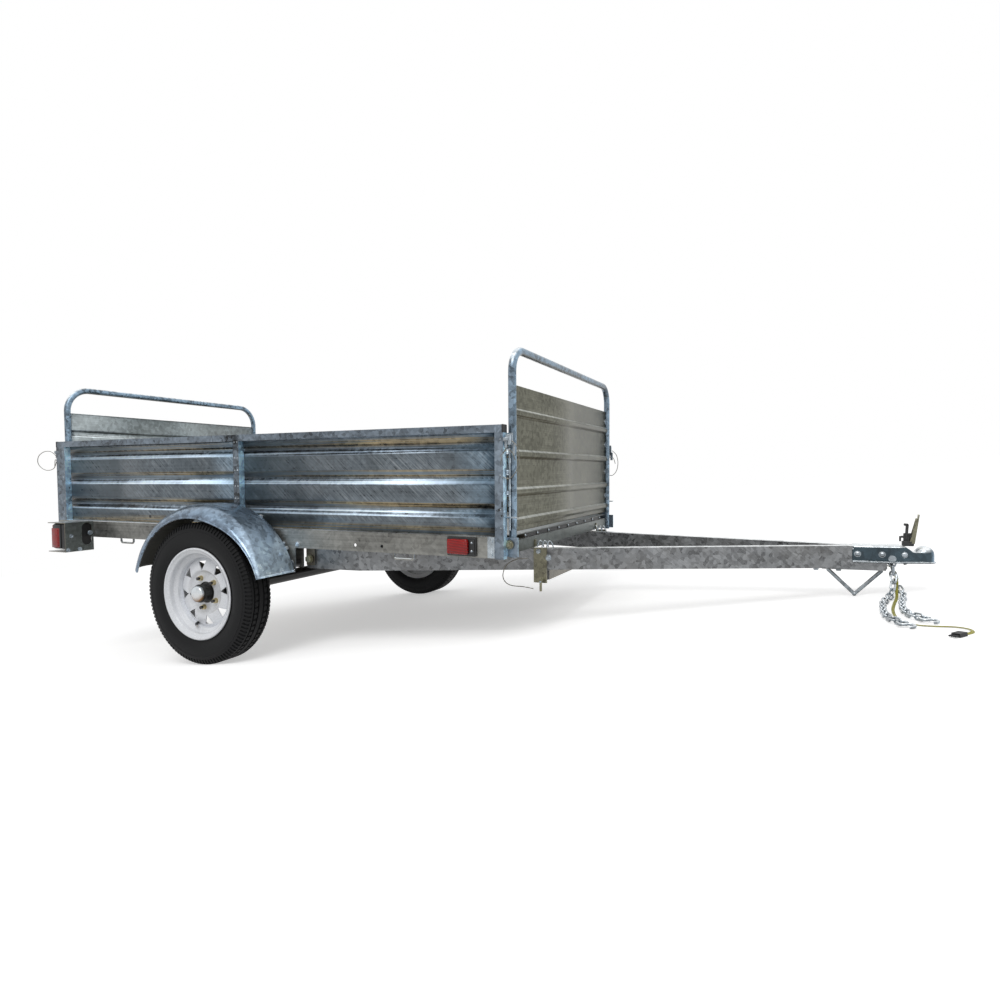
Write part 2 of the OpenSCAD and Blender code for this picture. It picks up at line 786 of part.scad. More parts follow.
// flat cable as a round tube through the route's points
function spline(p, i, t) = let (
  a = p[max(i - 1, 0)], b = p[i], c = p[i + 1], d = p[min(i + 2, len(p) - 1)])
  0.5*(2*b + (c - a)*t + (2*a - 5*b + 4*c - d)*t*t + (3*b - a - 3*c + d)*t*t*t);
module tube(p, r) {
  k = 3;
  q = [for (i = [0:len(p) - 2]) for (j = [0:k - 1]) spline(p, i, j/k), p[len(p) - 1]];
  n = len(q);
  pts = [for (i = [0:n - 1]) let (
      t = q[min(i + 1, n - 1)] - q[max(i - 1, 0)],
      u = cross(t, [0.31, -0.02, 0.95])/norm(cross(t, [0.31, -0.02, 0.95])),
      w = cross(u, t)/norm(t))
    for (a = [0:45:315]) q[i] + r*(cos(a)*u + sin(a)*w)];
  polyhedron(pts, concat(
    [[for (j = [7:-1:0]) j]],
    [for (i = [0:n - 2]) for (j = [0:7])
      [8*i + j, 8*i + (j + 1)%8, 8*i + 8 + (j + 1)%8, 8*i + 8 + j]],
    [[for (j = [0:7]) 8*(n - 1) + j]]), convexity = 8);
}
module wiring_harness() {
  tube(wire, wire_r);
}
module wiring_plug() {
  // moulded four-pole plug at the end of the harness, lying flat
  a = wire[len(wire) - 2];
  b = wire[len(wire) - 1];
  translate(b)
    rotate([0, 0, atan2(b[1] - a[1], b[0] - a[0])])
      translate([0.2, 0, 0]) {
        translate([0, -11, -4])
          cube([26, 22, 10]);
        for (i = [-1.5:1:1.5])
          translate([25, i*5.2, 1])
            rotate([0, 90, 0])
              cylinder(r = 2.2, h = 13);
      }
}

galv = [0.66, 0.68, 0.70];
black = [0.05, 0.05, 0.06];

color(galv) parked() side_rail();  // side_rail_left
color(galv) parked() sided(-1) side_rail();  // side_rail_right
color(galv) parked() front_cross_rail();
color(galv) parked() rear_cross_rail();
color(galv) parked() cross_members();
color(galv) parked() floor_deck();
color(galv) parked() wall_panels();  // wall_panels_left
color(galv) parked() sided(-1) wall_panels();  // wall_panels_right
color(galv) parked() wall_frame();  // wall_frame_left
color(galv) parked() sided(-1) wall_frame();  // wall_frame_right
color(black) parked() axle();
color(black) parked() leaf_spring();  // leaf_spring_left
color(black) parked() sided(-1) leaf_spring();  // leaf_spring_right
color(galv) parked() fender();  // fender_left
color(galv) parked() sided(-1) fender();  // fender_right
color(galv) parked() tail_light_bracket();  // tail_light_bracket_left
color(galv) parked() sided(-1) tail_light_bracket();  // tail_light_bracket_right
color("red") parked() tail_light();  // tail_light_left
color("red") parked() sided(-1) tail_light();  // tail_light_right
color("red") parked() side_marker();  // side_marker_left
color("red") parked() sided(-1) side_marker();  // side_marker_right
color(galv) parked() front_gate_latches();
color(galv) parked() rear_gate_latches();
color("gold") parked() tilt_latch_plates();
color(galv) parked() front_gate_frame();
color(galv) parked() front_gate_panel();
color(galv) parked() rear_gate_frame();
color(galv) parked() rear_gate_panel();
color(black) parked() tyre();  // tyre_left
color(black) parked() sided(-1) tyre();  // tyre_right
color("white") parked() rim();  // rim_left
color("white") parked() sided(-1) rim();  // rim_right
color(black) parked() hub();  // hub_left
color(black) parked() sided(-1) hub();  // hub_right
color(galv) tongue_set() tongue_rail();  // tongue_rail_left
color(galv) tongue_set() sided(-1) tongue_rail();  // tongue_rail_right
color(galv) tongue_set() tongue_cross_tube();
color(galv) tongue_set() nose_plate();
color(galv) tongue_set() coupler();
color("gold") tongue_set() coupler_lever();
color(galv) tongue_set() tongue_stand();
color(galv) chain(chain_left);  // safety_chain_left
color(galv) chain(chain_right);  // safety_chain_right
color(black) wiring_harness();
color(black) wiring_plug();
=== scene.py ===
import json
from math import degrees, atan2, cos, pi, radians, sin, sqrt

import bmesh
import bpy
from mathutils import Matrix, Vector


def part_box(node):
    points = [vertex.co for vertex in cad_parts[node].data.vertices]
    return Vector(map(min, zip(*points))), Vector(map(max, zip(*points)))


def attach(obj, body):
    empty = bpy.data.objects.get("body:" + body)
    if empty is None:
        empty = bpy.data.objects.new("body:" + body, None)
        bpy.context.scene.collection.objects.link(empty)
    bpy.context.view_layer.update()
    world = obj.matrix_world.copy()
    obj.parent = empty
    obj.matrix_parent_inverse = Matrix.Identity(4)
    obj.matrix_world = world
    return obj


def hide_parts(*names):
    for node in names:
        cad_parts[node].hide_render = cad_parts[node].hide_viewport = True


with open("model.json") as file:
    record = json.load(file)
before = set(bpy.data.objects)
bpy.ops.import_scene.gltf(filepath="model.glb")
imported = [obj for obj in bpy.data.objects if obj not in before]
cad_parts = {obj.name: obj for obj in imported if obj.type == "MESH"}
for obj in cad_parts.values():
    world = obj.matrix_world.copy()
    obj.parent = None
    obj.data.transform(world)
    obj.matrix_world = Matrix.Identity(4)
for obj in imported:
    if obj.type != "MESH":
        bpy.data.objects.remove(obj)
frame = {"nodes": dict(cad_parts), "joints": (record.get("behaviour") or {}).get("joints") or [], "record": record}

# Tilting utility trailer, parked nose down. Everything is in metres. Most pieces are made in the
# bed's own upright axes: x forward from the axle, y to the left, z up from level ground.
scene = bpy.context.scene
nodes = frame["nodes"]
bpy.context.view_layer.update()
joints = {joint["name"]: joint for joint in frame["joints"]}
mounts = {mount["name"]: mount for mount in frame["record"]["mounts"]}

bed = {
    "halfWidth": 0.636,       # over the side walls
    "rear": -1.096,           # ends of the side walls
    "front": 1.170,
    "middle": 0.008,          # rear edge of the middle post
    "railLow": 0.432,
    "railTop": 0.502,
    "wallTop": 0.863,
    "postDepth": 0.027,
    "postWidth": 0.030,
    "topRail": 0.025,
}
gate = {
    "front": 1.177,           # hoop planes
    "rear": -1.102,
    "hinge": 0.476,
    "tube": 0.0127,           # tube radius
    "reach": 0.5763,          # tube centres from the middle plane
}
wheel = {"plane": 0.762, "axle": 0.2655, "lugCircle": 0.05715, "firstLug": 115}
tongue = {
    "pivot": 0.345,
    "pivotHeight": 0.387,
    "low": 0.349,
    "top": 0.425,
    "ball": 2.406,
}

# the bed's and the tongue's axes, from the joints of the frame
frontHinge = Vector(joints["front_gate_fold"]["pos_m"])
rearHinge = Vector(joints["rear_gate_fold"]["pos_m"])
parkTurn = atan2(rearHinge.z - frontHinge.z, frontHinge.x - rearHinge.x)
bedFrame = (Matrix.Translation(frontHinge) @ Matrix.Rotation(parkTurn, 4, "Y")
            @ Matrix.Translation((-gate["front"], 0, -gate["hinge"])))
socketAxis = mounts["coupler_socket"]["axis"]
tongueFrame = (Matrix.Translation(joints["bed_tilt"]["pos_m"])
               @ Matrix.Rotation(atan2(-socketAxis[0], -socketAxis[2]), 4, "Y")
               @ Matrix.Translation((-tongue["pivot"], 0, -tongue["pivotHeight"])))
worldFrame = Matrix.Identity(4)
panelPlane = bed["halfWidth"] - bed["postDepth"]
wheelCentre = Vector((0, wheel["plane"], wheel["axle"]))


def addObject(name, data):
    made = bpy.data.objects.new(name, data)
    scene.collection.objects.link(made)
    return made


# ---- camera
view = {"place": (1.3943, -2.5304, 0.4539), "turn": (90.533, 6.945, 24.744), "lens": 23.459,
        "sensor": 36}
cameraData = bpy.data.cameras.new("camera")
cameraData.lens = view["lens"]
cameraData.sensor_width = view["sensor"]
camera = addObject("camera", cameraData)
camera.location = view["place"]
camera.rotation_euler = [radians(angle) for angle in view["turn"]]
scene.camera = camera
scene.view_settings.view_transform = "Standard"


# ---- shader helpers
def tone(red, green, blue):
    # a colour given as 0 to 255 on a screen
    def linear(value):
        value = value / 255
        return value / 12.92 if value <= 0.04045 else ((value + 0.055) / 1.055) ** 2.4
    return (linear(red), linear(green), linear(blue), 1)


def give(tree, socket, value):
    if isinstance(value, bpy.types.NodeSocket):
        tree.links.new(value, socket)
    else:
        socket.default_value = value


def put(tree, kind, inputs=None, **settings):
    node = tree.nodes.new("ShaderNode" + kind)
    for name, value in settings.items():
        setattr(node, name, value)
    for name, value in (inputs or {}).items():
        give(tree, node.inputs[name], value)
    return node


def mixColor(tree, share, first, second):
    node = put(tree, "Mix", data_type="RGBA")
    for index, value in ((0, share), (6, first), (7, second)):
        give(tree, node.inputs[index], value)
    return node.outputs[2]


def calc(tree, operation, first, second=0.0, clamped=False):
    node = put(tree, "Math", operation=operation, use_clamp=clamped)
    give(tree, node.inputs[0], first)
    give(tree, node.inputs[1], second)
    return node.outputs[0]


def spread(tree, value, low, high, newLow=0.0, newHigh=1.0):
    node = put(tree, "MapRange", {"Value": value, "From Min": low, "From Max": high,
                                  "To Min": newLow, "To Max": newHigh})
    return node.outputs["Result"]


def addProduct(tree, total, value, share):
    return calc(tree, "ADD", total, calc(tree, "MULTIPLY", value, share))


def noise(tree, place, scale, detail, roughness=0.5, distortion=0.0):
    node = put(tree, "TexNoise", {"Vector": place, "Scale": scale, "Detail": detail,
                                  "Roughness": roughness, "Distortion": distortion})
    return node.outputs["Fac"]


def surface(tree):
    # the place on the piece, and the way its surface faces
    coords = put(tree, "TexCoord").outputs
    return coords["Object"], put(tree, "SeparateXYZ", {"Vector": coords["Normal"]}).outputs


def newGroup(name, ins):
    tree = bpy.data.node_groups.new(name, "ShaderNodeTree")
    for socketName, start in ins.items():
        kind = "Color" if isinstance(start, tuple) else "Float"
        socket = tree.interface.new_socket(name=socketName, in_out="INPUT",
                                           socket_type="NodeSocket" + kind)
        socket.default_value = start
    for socketName, kind in (("Color", "Color"), ("Roughness", "Float"), ("Height", "Float")):
        tree.interface.new_socket(name=socketName, in_out="OUTPUT",
                                  socket_type="NodeSocket" + kind)
    entry = tree.nodes.new("NodeGroupInput")
    leave = tree.nodes.new("NodeGroupOutput")
    return tree, entry.outputs, leave.inputs


def newMaterial(name, metallic=0.0, **sockets):
    material = bpy.data.materials.new(name)
    material.use_nodes = True
    tree = material.node_tree
    shader = tree.nodes["Principled BSDF"]
    shader.inputs["Metallic"].default_value = metallic
    for socketName, value in sockets.items():
        shader.inputs[socketName.replace("_", " ")].default_value = value
    return material, tree, shader


def paintFrom(tree, shader, color, roughness, height=None, depth=0.0):
    tree.links.new(color, shader.inputs["Base Color"])
    tree.links.new(roughness, shader.inputs["Roughness"])
    if height is not None:
        bump = put(tree, "Bump", {"Height": height, "Distance": depth})
        tree.links.new(bump.outputs["Normal"], shader.inputs["Normal"])


def paintWith(tree, shader, group, values, depth):
    outs = put(tree, "Group", values, node_tree=group).outputs
    paintFrom(tree, shader, outs["Color"], outs["Roughness"], outs["Height"], depth)


postPlaces = {"middle": (bedFrame @ Vector((bed["middle"] + bed["postWidth"] / 2, 0, 0.66))).x,
              "front": (bedFrame @ Vector((bed["front"] - 0.020, 0, 0.66))).x}


zincMarks = {"wobble": 0.012, "wipeTurn": 48, "wipeSize": (0.11, 0.5, 0.0042), "bandTurn": 7.2,
             "bandSize": (1.3, 1.3, 0.0065), "grime": (96, 88, 72), "crystalSize": 75.0}


# hot-dip zinc: crystals, clouds and wiping marks; up, down and forward faces get colours of their own, which are
# painted light: a painted sky reflection on up faces, a painted ground reflection and shade on down faces, and
# painted light on forward faces
def makeZincGroup():
    tree, entry, leave = newGroup("zincCoat", {
        "Main": (0.5, 0.5, 0.5, 1), "Up Faces Painted Sky": (0.6, 0.6, 0.6, 1),
        "Down Faces Painted Ground": (0.4, 0.4, 0.4, 1), "Forward Faces Painted Light": (0.5, 0.5, 0.5, 1),
        "Crystal Size": 60.0, "Crystals": 0.25, "Clouds": 0.3, "Wiping": 0.2, "Bands": 0.2,
        "Grime": 0.2, "Post Shade": 0.0, "Base Roughness": 0.4})
    place, facing = surface(tree)
    wobble = put(tree, "TexNoise", {"Vector": place, "Scale": 40.0, "Detail": 2.0})
    bent = put(tree, "VectorMath", {0: place, 1: wobble.outputs["Color"]}, operation="ADD")
    bentPlace = put(tree, "Mix", data_type="VECTOR")
    bentPlace.inputs[0].default_value = zincMarks["wobble"]
    tree.links.new(place, bentPlace.inputs[4])
    tree.links.new(bent.outputs[0], bentPlace.inputs[5])
    cells = put(tree, "TexVoronoi", {"Vector": bentPlace.outputs[1],
                                     "Scale": entry["Crystal Size"], "Randomness": 1.0})
    crystal = put(tree, "SeparateColor", {"Color": cells.outputs["Color"]}).outputs["Red"]
    fern = noise(tree, place, 190.0, 4.0, 0.7, 1.2)
    cloud = noise(tree, place, 7.0, 5.0, 0.62, 0.4)
    stain = noise(tree, place, 2.3, 6.0, 0.7)
    wipes = put(tree, "Mapping", {
        "Vector": place, "Rotation": (0.0, radians(zincMarks["wipeTurn"]), 0.0),
        "Scale": zincMarks["wipeSize"]}, vector_type="TEXTURE")
    stroke = noise(tree, wipes.outputs["Vector"], 1.0, 3.0, 0.6)
    rolled = put(tree, "Mapping", {
        "Vector": place, "Rotation": (0.0, radians(zincMarks["bandTurn"]), 0.0),
        "Scale": zincMarks["bandSize"]}, vector_type="TEXTURE")
    band = noise(tree, rolled.outputs["Vector"], 1.0, 2.0)
    # painted light by facing: up faces take a painted sky reflection, down faces a banded painted ground
    # reflection and shade, forward faces painted light
    ahead = spread(tree, facing["X"], 0.55, 0.9)
    under = mixColor(tree, spread(tree, band, 0.47, 0.55), entry["Down Faces Painted Ground"], entry["Main"])
    base = mixColor(tree, spread(tree, facing["Z"], 0.25, 0.62), entry["Main"], entry["Up Faces Painted Sky"])
    base = mixColor(tree, spread(tree, facing["Z"], -0.2, -0.6), base, under)
    base = mixColor(tree, ahead, base, entry["Forward Faces Painted Light"])
    light = calc(tree, "MULTIPLY", calc(tree, "SUBTRACT", crystal, 0.5), entry["Crystals"])
    light = addProduct(tree, light, calc(tree, "SUBTRACT", fern, 0.5), entry["Crystals"])
    light = addProduct(tree, light, spread(tree, cloud, 0.3, 0.7, -0.5, 0.5), entry["Clouds"])
    # pale strokes, on upright faces only
    steep = calc(tree, "ABSOLUTE", facing["Z"])
    strokes = calc(tree, "MULTIPLY", spread(tree, stroke, 0.40, 0.68, -0.45, 1.0),
                   spread(tree, cloud, 0.38, 0.58))
    strokes = calc(tree, "MULTIPLY", strokes, spread(tree, steep, 0.16, 0.3, 1.0, 0.0))
    strokes = calc(tree, "MULTIPLY", strokes, entry["Wiping"])
    light = calc(tree, "ADD", light, strokes)
    bands = calc(tree, "MULTIPLY", spread(tree, band, 0.36, 0.64, -1.0, 1.0),
                 spread(tree, steep, 0.22, 0.5, 0.12, 1.0))
    light = addProduct(tree, light, bands, entry["Bands"])
    # the middle post lies in shade and the front one in light
    across = put(tree, "SeparateXYZ", {"Vector": place}).outputs["X"]
    middle = calc(tree, "ABSOLUTE", calc(tree, "SUBTRACT", across, postPlaces["middle"]))
    posts = calc(tree, "ADD", spread(tree, middle, 0.03, 0.05, -0.5, 0.0),
                 spread(tree, across, postPlaces["front"] - 0.03, postPlaces["front"], 0.0, 0.35))
    posts = calc(tree, "MULTIPLY", posts, calc(tree, "SUBTRACT", 1.0, ahead))
    light = addProduct(tree, light, posts, entry["Post Shade"])
    pale = calc(tree, "SUBTRACT", 1.0, calc(tree, "MULTIPLY", strokes, 0.6), True)
    bright = put(tree, "HueSaturation", {"Color": base, "Saturation": pale,
                                         "Value": calc(tree, "ADD", light, 1.0)})
    dirt = calc(tree, "MULTIPLY", spread(tree, stain, 0.52, 0.75), entry["Grime"])
    tree.links.new(mixColor(tree, dirt, bright.outputs["Color"], tone(*zincMarks["grime"])),
                   leave["Color"])
    rough = addProduct(tree, entry["Base Roughness"], light, 0.18)
    tree.links.new(addProduct(tree, rough, dirt, 0.25), leave["Roughness"])
    tree.links.new(addProduct(tree, calc(tree, "MULTIPLY", cloud, 0.7), fern, 0.3), leave["Height"])
    return tree


zincCoat = makeZincGroup()

# each use of zinc-coated steel: colours of the side, up, down and forward faces, then the strengths; the up, down
# and forward colours are a painted sky reflection, a painted ground reflection and shade, and painted light
zincUses = {
    "wallZinc": {
        "faces": ((92, 100, 106), (200, 218, 236), (172, 154, 118), (150, 182, 206)),
        "crystals": 0.35, "clouds": 0.42, "wiping": 0.75, "bands": 0.9, "grime": 0.15,
        "rough": 0.34},
    "topRailZinc": {
        "faces": ((104, 114, 124), (190, 204, 216), (96, 92, 84), (188, 222, 246)),
        "crystals": 0.8, "clouds": 0.9, "wiping": 0.1, "bands": 0.1, "grime": 0.12, "posts": 1.0,
        "rough": 0.34},
    "sideRailZinc": {
        "faces": ((122, 122, 118), (196, 202, 206), (116, 106, 86), (130, 140, 150)),
        "crystals": 0.35, "clouds": 0.7, "wiping": 0.1, "bands": 1.2, "grime": 0.25,
        "rough": 0.36},
    # front gate sheet: darker colours as painted shade; the rear gate's copy below is lighter as painted light
    "gateZinc": {
        "faces": ((110, 110, 99), (216, 220, 216), (78, 74, 62), (110, 110, 99)),
        "crystals": 0.45, "clouds": 0.3, "wiping": 0.25, "bands": 0.1, "grime": 0.3,
        "rough": 0.36},
    "rearGateZinc": {
        "faces": ((168, 176, 178), (220, 226, 228), (96, 98, 96), (174, 184, 186)),
        "crystals": 0.45, "clouds": 0.3, "wiping": 0.2, "grime": 0.3, "rough": 0.36},
    "gateTubeZinc": {
        "faces": ((108, 124, 138), (206, 214, 220), (84, 86, 84), (122, 144, 162)),
        "crystals": 1.0, "clouds": 0.8, "wiping": 0.0, "grime": 0.12, "rough": 0.28},
    "fenderZinc": {
        "faces": ((116, 132, 150), (134, 154, 174), (66, 70, 74), (196, 218, 238)),
        "crystals": 0.6, "clouds": 1.0, "wiping": 0.3, "grime": 0.1, "rough": 0.18},
    # fender's inner side: dark colours that are painted shade, with road dirt
    "insideShadeAndDirtZinc": {
        "faces": ((46, 46, 38), (64, 64, 56), (30, 29, 24), (46, 46, 40)),
        "crystals": 0.3, "clouds": 0.6, "wiping": 0.0, "grime": 0.6, "rough": 0.5},
    "tongueZinc": {
        "faces": ((122, 124, 126), (228, 232, 234), (116, 102, 80), (126, 122, 112)),
        "crystals": 0.8, "clouds": 0.5, "wiping": 0.25, "bands": 0.3, "grime": 0.25,
        "rough": 0.34},
    "underZinc": {
        "faces": ((112, 106, 94), (180, 184, 184), (84, 74, 58), (108, 114, 112)),
        "crystals": 0.4, "clouds": 0.5, "wiping": 0.1, "grime": 0.4, "rough": 0.40},
    "brightZinc": {
        "faces": ((150, 158, 164), (228, 234, 238), (80, 82, 80), (180, 192, 202)),
        "crystals": 0.5, "clouds": 0.6, "wiping": 0.0, "grime": 0.1, "rough": 0.22},
    "couplerZinc": {
        "faces": ((54, 68, 76), (226, 232, 236), (62, 62, 58), (104, 130, 150)),
        "crystals": 0.5, "clouds": 0.8, "wiping": 0.0, "bands": 0.2, "grime": 0.1,
        "rough": 0.2},
    "yellowZinc": {
        "faces": ((118, 116, 98), (196, 196, 176), (78, 72, 56), (140, 138, 118)),
        "crystals": 0.6, "clouds": 0.9, "wiping": 0.0, "grime": 0.3, "rough": 0.30},
}
relief = {"depth": 0.0006, "metal": 0.62}


def makeZinc(name, use):
    material, tree, shader = newMaterial(name, relief["metal"])
    side, up, down, forward = [tone(*colour) for colour in use["faces"]]
    paintWith(tree, shader, zincCoat, {
        "Main": side, "Up Faces Painted Sky": up, "Down Faces Painted Ground": down, "Forward Faces Painted Light": forward,
        "Crystals": use["crystals"], "Clouds": use["clouds"], "Wiping": use["wiping"],
        "Bands": use.get("bands", 0.0), "Grime": use["grime"],
        "Post Shade": use.get("posts", 0.0), "Base Roughness": use["rough"],
        "Crystal Size": zincMarks["crystalSize"]}, relief["depth"])
    return material


finish = {name: makeZinc(name, use) for name, use in zincUses.items()}


# paint, rubber and plastic: an even colour broken up by dust, wear and a fine grain
def makeCoatGroup():
    tree, entry, leave = newGroup("coatWear", {
        "Colour": (0.1, 0.1, 0.1, 1), "Dust Colour": (0.3, 0.28, 0.25, 1), "Dust": 0.3,
        "Grain Size": 300.0, "Patch Size": 6.0, "Base Roughness": 0.5})
    place, facing = surface(tree)
    patch = noise(tree, place, entry["Patch Size"], 5.0, 0.65)
    grain = noise(tree, place, entry["Grain Size"], 3.0, 0.6)
    settled = calc(tree, "ADD", spread(tree, patch, 0.42, 0.72),
                   spread(tree, facing["Z"], 0.2, 1.0, 0, 0.6))
    dust = calc(tree, "MULTIPLY", settled, entry["Dust"], True)
    shade = put(tree, "HueSaturation", {"Color": entry["Colour"],
                                        "Value": spread(tree, grain, 0.3, 0.7, 0.86, 1.14)})
    tree.links.new(mixColor(tree, dust, shade.outputs["Color"], entry["Dust Colour"]),
                   leave["Color"])
    rough = addProduct(tree, entry["Base Roughness"], dust, 0.35)
    tree.links.new(calc(tree, "ADD", rough, spread(tree, grain, 0.3, 0.7, -0.04, 0.04)),
                   leave["Roughness"])
    tree.links.new(grain, leave["Height"])
    return tree


coatWear = makeCoatGroup()

coatUses = {
    "blackPaint": {"colour": (17, 18, 20), "dustColour": (84, 80, 74), "dust": 0.14,
                   "rough": 0.38, "depth": 0.0003, "coat": 0.15},
    "blackPlastic": {"colour": (12, 13, 15), "dustColour": (60, 62, 66), "dust": 0.12,
                     "rough": 0.45, "depth": 0.0003, "coat": 0.0},
    "tyreRubber": {"colour": (10, 11, 13), "dustColour": (42, 41, 40), "dust": 0.1,
                   "rough": 0.66, "depth": 0.0005, "coat": 0.0, "gloss": 0.25},
    "wheelPaint": {"colour": (238, 241, 246), "dustColour": (176, 172, 164), "dust": 0.12,
                   "rough": 0.2, "depth": 0.0002, "coat": 0.5},
    "goldNut": {"colour": (196, 184, 146), "dustColour": (104, 90, 66), "dust": 0.35,
                "rough": 0.28, "depth": 0.0002, "coat": 0.0, "metal": 0.9},
    "wireWhite": {"colour": (222, 220, 206), "dustColour": (150, 140, 120), "dust": 0.25,
                  "rough": 0.42, "depth": 0.0002, "coat": 0.1},
    "wireBrown": {"colour": (108, 78, 52), "dustColour": (130, 118, 98), "dust": 0.25,
                  "rough": 0.42, "depth": 0.0002, "coat": 0.1},
    "wireYellow": {"colour": (170, 166, 66), "dustColour": (140, 130, 90), "dust": 0.25,
                   "rough": 0.42, "depth": 0.0002, "coat": 0.1},
    "wireGreen": {"colour": (74, 104, 58), "dustColour": (110, 112, 84), "dust": 0.25,
                  "rough": 0.42, "depth": 0.0002, "coat": 0.1},
}


def makeCoat(name, use):
    material, tree, shader = newMaterial(name, use.get("metal", 0.0), Coat_Weight=use["coat"],
                                         Coat_Roughness=0.12,
                                         Specular_IOR_Level=use.get("gloss", 0.5))
    paintWith(tree, shader, coatWear, {
        "Colour": tone(*use["colour"]), "Dust Colour": tone(*use["dustColour"]),
        "Dust": use["dust"], "Base Roughness": use["rough"]}, use["depth"])
    return material


finish.update({name: makeCoat(name, use) for name, use in coatUses.items()})

lensUse = {"deep": (96, 1, 2), "ridge": (176, 8, 6), "lit": (206, 34, 16), "prisms": 60.0,
           "depth": 0.0006}


# moulded lens: prisms show as fine lines under a glossy face
def makeLens():
    material, tree, shader = newMaterial("redLens", 0.0, Coat_Weight=0.2, Coat_Roughness=0.05,
                                         Specular_IOR_Level=0.3)
    place = put(tree, "TexCoord").outputs["Object"]
    prisms = put(tree, "TexWave", {"Vector": place, "Scale": lensUse["prisms"], "Distortion": 0.0},
                 wave_type="BANDS", bands_direction="Z").outputs["Fac"]
    patch = noise(tree, place, 30.0, 3.0)
    deep = mixColor(tree, prisms, tone(*lensUse["deep"]), tone(*lensUse["ridge"]))
    red = mixColor(tree, spread(tree, patch, 0.5, 0.8, 0, 0.3), deep, tone(*lensUse["lit"]))
    paintFrom(tree, shader, red, spread(tree, patch, 0.3, 0.7, 0.12, 0.24), prisms,
              lensUse["depth"])
    return material


# chrome colours: the upper colour, a tan painted ground reflection on faces turned down, and smears
chromeUse = {"bright": (206, 212, 216), "below": (128, 98, 66), "smear": (120, 116, 108)}


def makeChrome():
    material, tree, shader = newMaterial("chrome", 1.0)
    place, facing = surface(tree)
    smear = noise(tree, place, 60.0, 4.0)
    # faces turned down take the tan colour: a painted ground reflection
    shade = mixColor(tree, spread(tree, facing["Z"], 0.1, -0.5), tone(*chromeUse["bright"]),
                     tone(*chromeUse["below"]))
    color = mixColor(tree, spread(tree, smear, 0.5, 0.8, 0, 0.35), shade,
                     tone(*chromeUse["smear"]))
    paintFrom(tree, shader, color, spread(tree, smear, 0.3, 0.8, 0.08, 0.3))
    return material


finish["redLens"] = makeLens()
finish["chrome"] = makeChrome()
print("materials ready:", len(finish))


# ---- mesh helpers, all on bmesh operators
def roundOff(bm, edges, offset, steps):
    bmesh.ops.bevel(bm, geom=edges, offset=offset, segments=steps, profile=0.5, affect="EDGES",
                    material=-1)


def edgesOf(verts):
    return list({edge for vert in verts for edge in vert.link_edges})


def vertsOf(made):
    return [item for item in made["geom"] if isinstance(item, bmesh.types.BMVert)]


def block(bm, size, centre):
    verts = bmesh.ops.create_cube(bm, size=1)["verts"]
    bmesh.ops.scale(bm, vec=size, verts=verts)
    bmesh.ops.translate(bm, vec=centre, verts=verts)
    return verts


def slab(bm, corner, across, rounding=0.0, steps=2):
    # a box between two opposite corners
    low = Vector([min(pair) for pair in zip(corner, across)])
    high = Vector([max(pair) for pair in zip(corner, across)])
    verts = block(bm, high - low, (low + high) / 2)
    if rounding:
        roundOff(bm, edgesOf(verts), rounding, steps)


def along(start, end):
    # places a shape made on the Z axis between two points
    axis = Vector(end) - Vector(start)
    turn = axis.to_track_quat("Z", "Y").to_matrix().to_4x4()
    return Matrix.Translation((Vector(start) + Vector(end)) / 2) @ turn, axis.length


def rod(bm, start, end, radius, sides=20, endRadius=None, softEnd=0.0):
    place, length = along(start, end)
    verts = bmesh.ops.create_cone(
        bm, cap_ends=True, segments=sides, radius1=radius,
        radius2=radius if endRadius is None else endRadius, depth=length, matrix=place)["verts"]
    if softEnd:
        tip = set(verts[sides:])
        rim = [edge for edge in edgesOf(tip) if edge.verts[0] in tip and edge.verts[1] in tip]
        roundOff(bm, rim, softEnd, 2)


def dome(bm, place, axis, radius, height):
    # round head on a surface
    turn = Vector(axis).to_track_quat("Z", "Y").to_matrix().to_4x4()
    verts = bmesh.ops.create_uvsphere(bm, u_segments=16, v_segments=8, radius=1)["verts"]
    bmesh.ops.transform(bm, verts=verts, matrix=Matrix.Translation(place) @ turn
                        @ Matrix.Diagonal((radius, radius, height, 1)))


def bolt(bm, place, axis, size, thread=0.0):
    # hexagon head on a washer; size is the bolt's radius
    place, axis = Vector(place), Vector(axis).normalized()
    low, high = size * 0.3, size * 1.4
    rod(bm, place, place + axis * size * 0.35, size * 2.2, 24, softEnd=size * 0.12)
    rod(bm, place + axis * low, place + axis * high, size * 1.8, 6, softEnd=low)
    if thread:
        rod(bm, place, place + axis * (high + thread), size, 14, softEnd=size * 0.2)


def turned(bm, outline, centre, steps, angle=2 * pi, start=(0, 0, 1)):
    # spins an outline of (radius, distance to the left) about an axis that runs across
    axis, start, centre = Vector((0, 1, 0)), Vector(start), Vector(centre)
    verts = [bm.verts.new(centre + start * radius + axis * step) for radius, step in outline]
    edges = [bm.edges.new(pair) for pair in zip(verts, verts[1:])]
    full = abs(angle - 2 * pi) < 1e-6
    bmesh.ops.spin(bm, geom=verts + edges, cent=centre, axis=axis, angle=angle, steps=steps,
                   use_merge=full, dvec=(0, 0, 0))


def folded(bm, outline, run, bend):
    # extrudes a folded sheet's outline along run and rounds its folds
    verts = [bm.verts.new(point) for point in outline]
    edges = [bm.edges.new(pair) for pair in zip(verts, verts[1:])]
    moved = vertsOf(bmesh.ops.extrude_edge_only(bm, edges=edges))
    bmesh.ops.translate(bm, vec=run, verts=moved)
    folds = [edge for vert in verts[1:-1] for edge in vert.link_edges
             if edge.other_vert(vert) in moved]
    roundOff(bm, folds, bend, 3)


